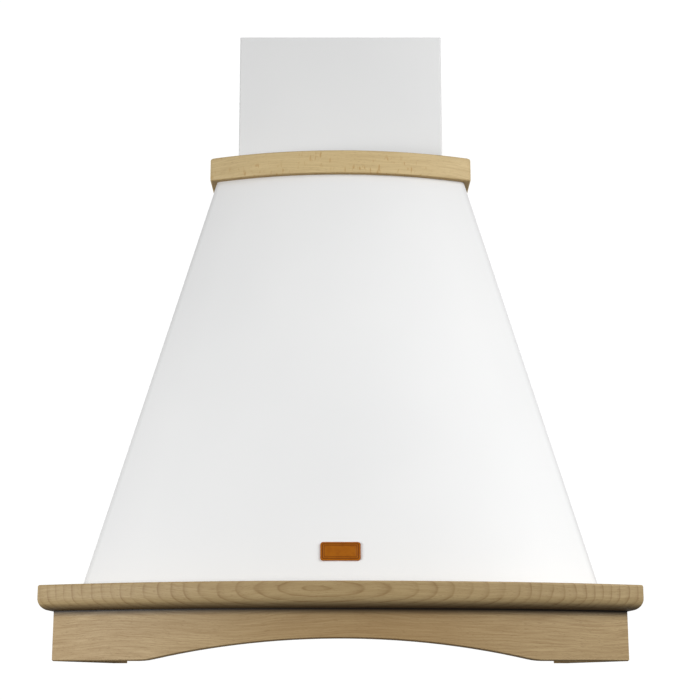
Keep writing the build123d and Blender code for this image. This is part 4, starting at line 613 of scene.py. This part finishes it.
def fold_shaded_coat(name):
    """Powder coat with painted shade along the folds between the dome's front and its sides."""
    material = powder_coat(name, PAINT_WHITE, PAINT_SHADE)
    tree = material.node_tree
    paint = tree.nodes["Principled BSDF"].inputs["Base Color"]
    xyz = lay(tree, "ShaderNodeSeparateXYZ", {0: on_the_part(tree)})
    climb = {"Value": xyz.outputs[2], "From Min": DOME_Z[0], "From Max": DOME_Z[1]}
    fold = []
    for low, high in zip(DOME_FOOT[:2], DOME_CROWN[:2]):
        fold.append(lay(tree, "ShaderNodeMapRange", climb | {"To Min": low, "To Max": high}).outputs[0])
    inwards = reckon(tree, "SUBTRACT", fold[0], reckon(tree, "ABSOLUTE", xyz.outputs[0]))
    backwards = reckon(tree, "SUBTRACT", xyz.outputs[1], fold[1])
    off = reckon(tree, "DIVIDE", reckon(tree, "MAXIMUM", inwards, backwards), FOLD_SHADE_REACH)
    # Painted shade: the colour darkens towards each fold.
    tone = steps(tree, off, *FOLD_SHADE_TONES)
    tree.links.new(mixed(tree, 1.0, paint.links[0].from_socket, tone, "MULTIPLY"), paint)
    return material


dress(fold_shaded_coat("dome_powder_coat"), "dome_shell")
dress(SCREW_STEEL, "dome_screws")


# Blower: two moulded scroll halves round a forward-curved impeller on the motor's shaft.
# The motor hangs in the left inlet on a three-armed bracket with rubber bushes.
SCROLL_GREY = (0.590, 0.590, 0.570, 1)
SCROLL_DULL = (0.540, 0.540, 0.520, 1)
SHAFT_PALE = (0.60, 0.60, 0.61, 1)
SHAFT_DARK = (0.50, 0.50, 0.51, 1)
SHAFT_HAZE_PER_METRE = 2200.0
ENAMEL = (0.024, 0.026, 0.029, 1)
ENAMEL_DULL = (0.034, 0.036, 0.039, 1)
ENAMEL_SPARKS_PER_METRE = 700.0
ENAMEL_ROUGHNESS = (0.28, 0.42)
RUBBER = (0.014, 0.014, 0.014, 1)
RUBBER_DULL = (0.022, 0.022, 0.021, 1)
RUBBER_SPARKS_PER_METRE = 900.0
RUBBER_ROUGHNESS = (0.62, 0.80)
SCROLL_MOULDED = moulded("scroll_moulded", SCROLL_GREY, SCROLL_DULL)
dress(SCROLL_MOULDED, "scroll_half_left", "scroll_half_right", "impeller")
GROUND_STEEL = plated("shaft_ground_steel", SHAFT_PALE, SHAFT_DARK, SHAFT_HAZE_PER_METRE)
dress(GROUND_STEEL, "motor_shaft", "flap_pins")
MOTOR_ENAMEL = moulded("motor_enamel", ENAMEL, ENAMEL_DULL, ENAMEL_SPARKS_PER_METRE, ENAMEL_ROUGHNESS)
dress(MOTOR_ENAMEL, "motor")
dress(GALVANISED, "motor_bracket")
BUSH_RUBBER = moulded("bush_rubber", RUBBER, RUBBER_DULL, RUBBER_SPARKS_PER_METRE, RUBBER_ROUGHNESS)
dress(BUSH_RUBBER, "motor_bushes")
dress(SCREW_STEEL, "bush_screws")


# Outlet: a moulded transition from the scroll's mouth to the round hole in the galvanised top
# plate, and on top the black duct spigot with two flaps on steel pins. Four screws clamp them.
dress(SCROLL_MOULDED, "outlet_transition")
dress(GALVANISED, "top_plate")
dress(BLACK_MOULDED, "duct_spigot", "damper_flap_left", "damper_flap_right")
dress(SCREW_STEEL, "blower_screws")


# Electrical pieces: black terminal box with its lid, white capacitor in a spring clip,
# black cable gland in the top plate.
CAN_WHITE = (0.70, 0.70, 0.68, 1)
CAN_SHADE = (0.66, 0.66, 0.64, 1)
CAN_SPARKS_PER_METRE = 600.0
CAN_ROUGHNESS = (0.25, 0.35)
dress(BLACK_MOULDED, "terminal_box", "terminal_lid", "cable_gland")
CAN_MOULDED = moulded("capacitor_white", CAN_WHITE, CAN_SHADE, CAN_SPARKS_PER_METRE, CAN_ROUGHNESS)
dress(CAN_MOULDED, "capacitor")
dress(GALVANISED, "capacitor_clip")


# Upper rail: three pale beech boards round the crown of the dome, mitred, corners rounded over.
# Cut on the quarter, so short brown rays show among the fine straight grain near the middle.
RAIL_PALE = (0.560, 0.432, 0.228, 1)
RAIL_BROWN = (0.470, 0.350, 0.176, 1)
# Painted shade on the rail's faces that look down.
RAIL_UNDER_SHADE = (0.62, 0.54, 0.40, 1)
RAIL_PORES = 0.22
RAIL_GLOSS = 0.28
RAY_BROWN = (0.400, 0.245, 0.085, 1)
RAYS_PER_METRE = (330, 330, 105)
PATCHES_PER_METRE = (13, 13, 40)


def rayed_beech(name, turn):
    """Quarter-cut beech: fine grain, with short upright rays in loose patches."""
    made = beech(name, turn, RAIL_PALE, RAIL_BROWN, RAIL_PORES, RAIL_GLOSS)
    material, tree, shader, board, wood = made
    ray = cloud(tree, turned(tree, board, stretch=RAYS_PER_METRE), 1.0, 1.0)
    patch = cloud(tree, turned(tree, board, stretch=PATCHES_PER_METRE), 1.0, 1.0)
    ray = steps(tree, ray, (0.61, 0.0), (0.70, 0.80))
    ray = mixed(tree, steps(tree, patch, (0.46, 0.0), (0.60, 1.0)), (0, 0, 0, 1), ray)
    # Painted shade darkens the faces that look down.
    painted_underside_shade(tree, shader, mixed(tree, ray, wood, RAY_BROWN), RAIL_UNDER_SHADE)
    return material


dress(rayed_beech("rail_front_beech", 0), "upper_rail_front")
dress(rayed_beech("rail_side_beech", 90), "upper_rail_left", "upper_rail_right")


# Chimney: a three-sided white cover over the duct, an inner length that slides up in it,
# two folded feet on the top plate and four cross-recessed screws through the cover's sides.
# Painted shade: the cover's coat is a darker white than the dome's, though both are one paint.
CHIMNEY_SHADED_WHITE = (0.701, 0.703, 0.701, 1)
CHIMNEY_SHADED_GREY = (0.679, 0.682, 0.682, 1)
CHIMNEY_SCREW = Vector((0.1225, 0.024, 0.1088))
DUCT_Y = -0.105
CHIMNEY_SHADED_PAINT = powder_coat("chimney_powder_coat", CHIMNEY_SHADED_WHITE, CHIMNEY_SHADED_GREY)
dress(CHIMNEY_SHADED_PAINT, "chimney_cover", "chimney_extension")
dress(GALVANISED, "chimney_feet")
chimney_places = []
for side in (-1, 1):
    for step in (-1, 1):
        spot = Vector((side * CHIMNEY_SCREW.x, DUCT_Y + step * CHIMNEY_SCREW.y, CHIMNEY_SCREW.z))
        chimney_places.append(Matrix.Translation(spot) @ Matrix.Rotation(side * pi / 2, 4, "Y"))
screw_set("chimney_screw_heads", chimney_places, "chimney_screws")


# Badge: a small cognac leather label glued to the dome's front, low down in the middle.
# Its edges are pared round, and two fine border lines are pressed in along its rim.
# Each row of its section is the way in from the rim, the rise, and 1 in a pressed line.
BADGE_HALF = (0.0199, 0.0094)
BADGE_CORNER = 0.0029
BADGE_LEAST_CORNER = 0.0004
BADGE_CREASE = radians(50)
BADGE_Z = -0.3745
BADGE_LEAN = radians(21.5)
BADGE_TIP = 0.2
LEATHER = (0.345, 0.1080, 0.0035, 1)
LEATHER_DARK = (0.275, 0.0770, 0.0025, 1)
LEATHER_GLOSS = 0.12
LEATHER_ROUGHNESS = 0.46
LEATHER_SPREAD = 0.2
LEATHER_CLOUDS_PER_METRE = 160.0
LEATHER_PORES_PER_METRE = 1500.0
LEATHER_PORE_DEPTH = 0.00006
PRESSED = (0.150, 0.0350, 0.0018, 1)
PRESSED_ROUGHNESS = 0.42
BADGE_SECTION = (
    (0.0000, 0.0001, 0),
    (0.0000, 0.0012, 0),
    (0.0003, 0.0016, 0),
    (0.0009, 0.0019, 0),
    (0.0017, 0.00195, 0),
    (0.0020, 0.00165, 1),
    (0.0026, 0.00165, 1),
    (0.0029, 0.00190, 0),
    (0.0036, 0.00190, 0),
    (0.0038, 0.00172, 1),
    (0.0041, 0.00172, 1),
    (0.0043, 0.00190, 0),
    (0.0060, 0.00195, 0),
    (0.0078, 0.00195, 0),
)


def dome_front(x, z):
    """Depth of the dome's front at that place."""
    share = (z - DOME_Z[0]) / (DOME_Z[1] - DOME_Z[0])
    half, corner, bulge = (low + share * (high - low) for low, high in zip(DOME_FOOT, DOME_CROWN))
    radius = (half**2 + bulge**2) / (2 * bulge)
    return corner - bulge + radius - sqrt(radius**2 - x**2)


def badge_loop(inset, count=96):
    """Rounded outline moved inwards, as points across and up."""
    wide, tall = (half - inset for half in BADGE_HALF)
    corner = max(BADGE_CORNER - inset, BADGE_LEAST_CORNER)
    points = []
    for n in range(count):
        quarter, share = divmod(n * 4 / count, 1.0)
        angle = (quarter + share) * pi / 2
        across, up = ((1, 1), (-1, 1), (-1, -1), (1, -1))[int(quarter)]
        x = across * (wide - corner) + corner * cos(angle)
        y = up * (tall - corner) + corner * sin(angle)
        points.append((x, y))
    return points


def leather(name, tan, dark, roughness):
    """Smooth dyed leather with fine pores."""
    material, tree, shader = finish(name, Specular_IOR_Level=LEATHER_GLOSS)
    place = on_the_part(tree)
    inputs = {"Vector": place, "Scale": LEATHER_PORES_PER_METRE}
    pore = lay(tree, "ShaderNodeTexVoronoi", inputs).outputs["Distance"]
    broad = cloud(tree, place, LEATHER_CLOUDS_PER_METRE, 3.0)
    tone = mixed(tree, steps(tree, broad, (0.3, 0.0), (0.72, 1.0)), tan, dark)
    tone = mixed(tree, steps(tree, pore, (0.05, 0.4), (0.3, 0.0)), tone, dark)
    tree.links.new(tone, shader.inputs["Base Color"])
    dull = spread(tree, pore, roughness, roughness + LEATHER_SPREAD)
    tree.links.new(dull, shader.inputs["Roughness"])
    raised(tree, shader, pore, LEATHER_PORE_DEPTH)
    return material


form = bmesh.new()
loops = []
for inset, rise, pressed in BADGE_SECTION:
    loop = []
    for x, up in badge_loop(inset):
        z = BADGE_Z + up
        y = dome_front(x, z) - rise * cos(BADGE_LEAN)
        loop.append(form.verts.new((x, y, z + rise * sin(BADGE_LEAN) * BADGE_TIP)))
    loops.append(loop)
for low, high, (inset, rise, pressed) in zip(loops, loops[1:], BADGE_SECTION[1:]):
    for n in range(len(low)):
        form.faces.new((low[n - 1], low[n], high[n], high[n - 1])).material_index = pressed
form.faces.new(loops[-1])
form.faces.new(reversed(loops[0]))
bmesh.ops.recalc_face_normals(form, faces=form.faces)
badge_mesh = mesh_of("leather_badge", form)
badge_mesh.shade_smooth()
badge_mesh.set_sharp_from_angle(angle=BADGE_CREASE)
badge_leather = leather("badge_leather", LEATHER, LEATHER_DARK, LEATHER_ROUGHNESS)
badge = piece("leather_badge", badge_mesh, badge_leather, "housing")
badge.data.materials.append(leather("badge_pressed_line", PRESSED, PRESSED, PRESSED_ROUGHNESS))
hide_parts("badge")


# Studio: pale floor far below the hung hood, and a white surround that is brightest behind it.
# Three soft boxes light the front: a small weak one level with the crown, one to the right,
# and a wide one low on the left.
FLOOR_Z = -3.20
FLOOR_RADIUS = 140.0
FLOOR_SIDES = 96
FLOOR_WHITE = (0.80, 0.80, 0.79, 1)
FLOOR_SHADE = (0.78, 0.78, 0.77, 1)
SURROUND_FRONT = 0.256
SURROUND_BEHIND = 1.05
BEHIND_FROM = 0.1
BEHIND_TO = 0.6
SURROUND_BELOW = 0.42
BELOW_FROM = -0.115
BELOW_TO = -0.075
SOFT_BOXES = (
    ("soft_box_crown", (0.55, -0.95, 0.45), (0.5, 0.5), 1.26),
    ("soft_box_right", (1.1, -1.0, 0.15), (0.7, 0.7), 13.2),
    ("soft_box_left", (-1.5, -1.5, -0.30), (1.0, 0.6), 27.3),
)
SOFT_BOX_AIM = Vector((0, -0.30, -0.20))

form = bmesh.new()
bmesh.ops.create_circle(form, cap_ends=True, segments=FLOOR_SIDES, radius=FLOOR_RADIUS)
floor = bpy.data.objects.new("studio_floor", mesh_of("studio_floor", form))
floor.location = (0, 0, FLOOR_Z)
bpy.context.scene.collection.objects.link(floor)
floor.data.materials.append(powder_coat("floor_pale", FLOOR_WHITE, FLOOR_SHADE))
floor.visible_diffuse = False

world = bpy.data.worlds.new("studio_surround")
bpy.context.scene.world = world
world.use_nodes = True
tree = world.node_tree
heading = lay(tree, "ShaderNodeTexCoord", {}).outputs["Generated"]
heading = lay(tree, "ShaderNodeSeparateXYZ", {0: heading})
inputs = {"Value": heading.outputs[1], "From Min": BEHIND_FROM, "From Max": BEHIND_TO}
inputs |= {"To Min": SURROUND_FRONT, "To Max": SURROUND_BEHIND}
behind = lay(tree, "ShaderNodeMapRange", inputs).outputs[0]
inputs = {"Value": heading.outputs[2], "From Min": BELOW_FROM, "From Max": BELOW_TO}
inputs |= {"To Min": SURROUND_BELOW, "To Max": 1.0}
below = lay(tree, "ShaderNodeMapRange", inputs).outputs[0]
background = tree.nodes["Background"]
background.inputs["Color"].default_value = (1, 1, 1, 1)
tree.links.new(reckon(tree, "MULTIPLY", behind, below), background.inputs["Strength"])

for name, spot, size, power in SOFT_BOXES:
    lamp = bpy.data.lights.new(name, "AREA")
    lamp.shape = "RECTANGLE"
    lamp.size, lamp.size_y = size
    lamp.energy = power
    box = bpy.data.objects.new(name, lamp)
    box.location = spot
    box.rotation_euler = (SOFT_BOX_AIM - Vector(spot)).to_track_quat("-Z", "Y").to_euler()
    box.visible_camera = False
    bpy.context.scene.collection.objects.link(box)

bpy.context.scene.view_settings.view_transform = "Standard"
bpy.context.scene.view_settings.look = "None"


# Camera: straight in front of the hood, a little below the apron's edge and tilted up.
# A small sideways shift of the frame sets the hood where it stands in the photograph.
IMAGE_WIDTH = 700
SHIFT_PIXELS = 9.5
EYE = (0, -1.915, -0.48946)
EYE_TILT = radians(90 + 12.10)
lens = bpy.data.cameras.new("photo_camera")
lens.sensor_width = 36.0
lens.lens = 77.0
lens.shift_x = SHIFT_PIXELS / IMAGE_WIDTH
eye = bpy.data.objects.new("photo_camera", lens)
eye.location = EYE
eye.rotation_euler = (EYE_TILT, 0, 0)
bpy.context.scene.collection.objects.link(eye)
bpy.context.scene.camera = eye
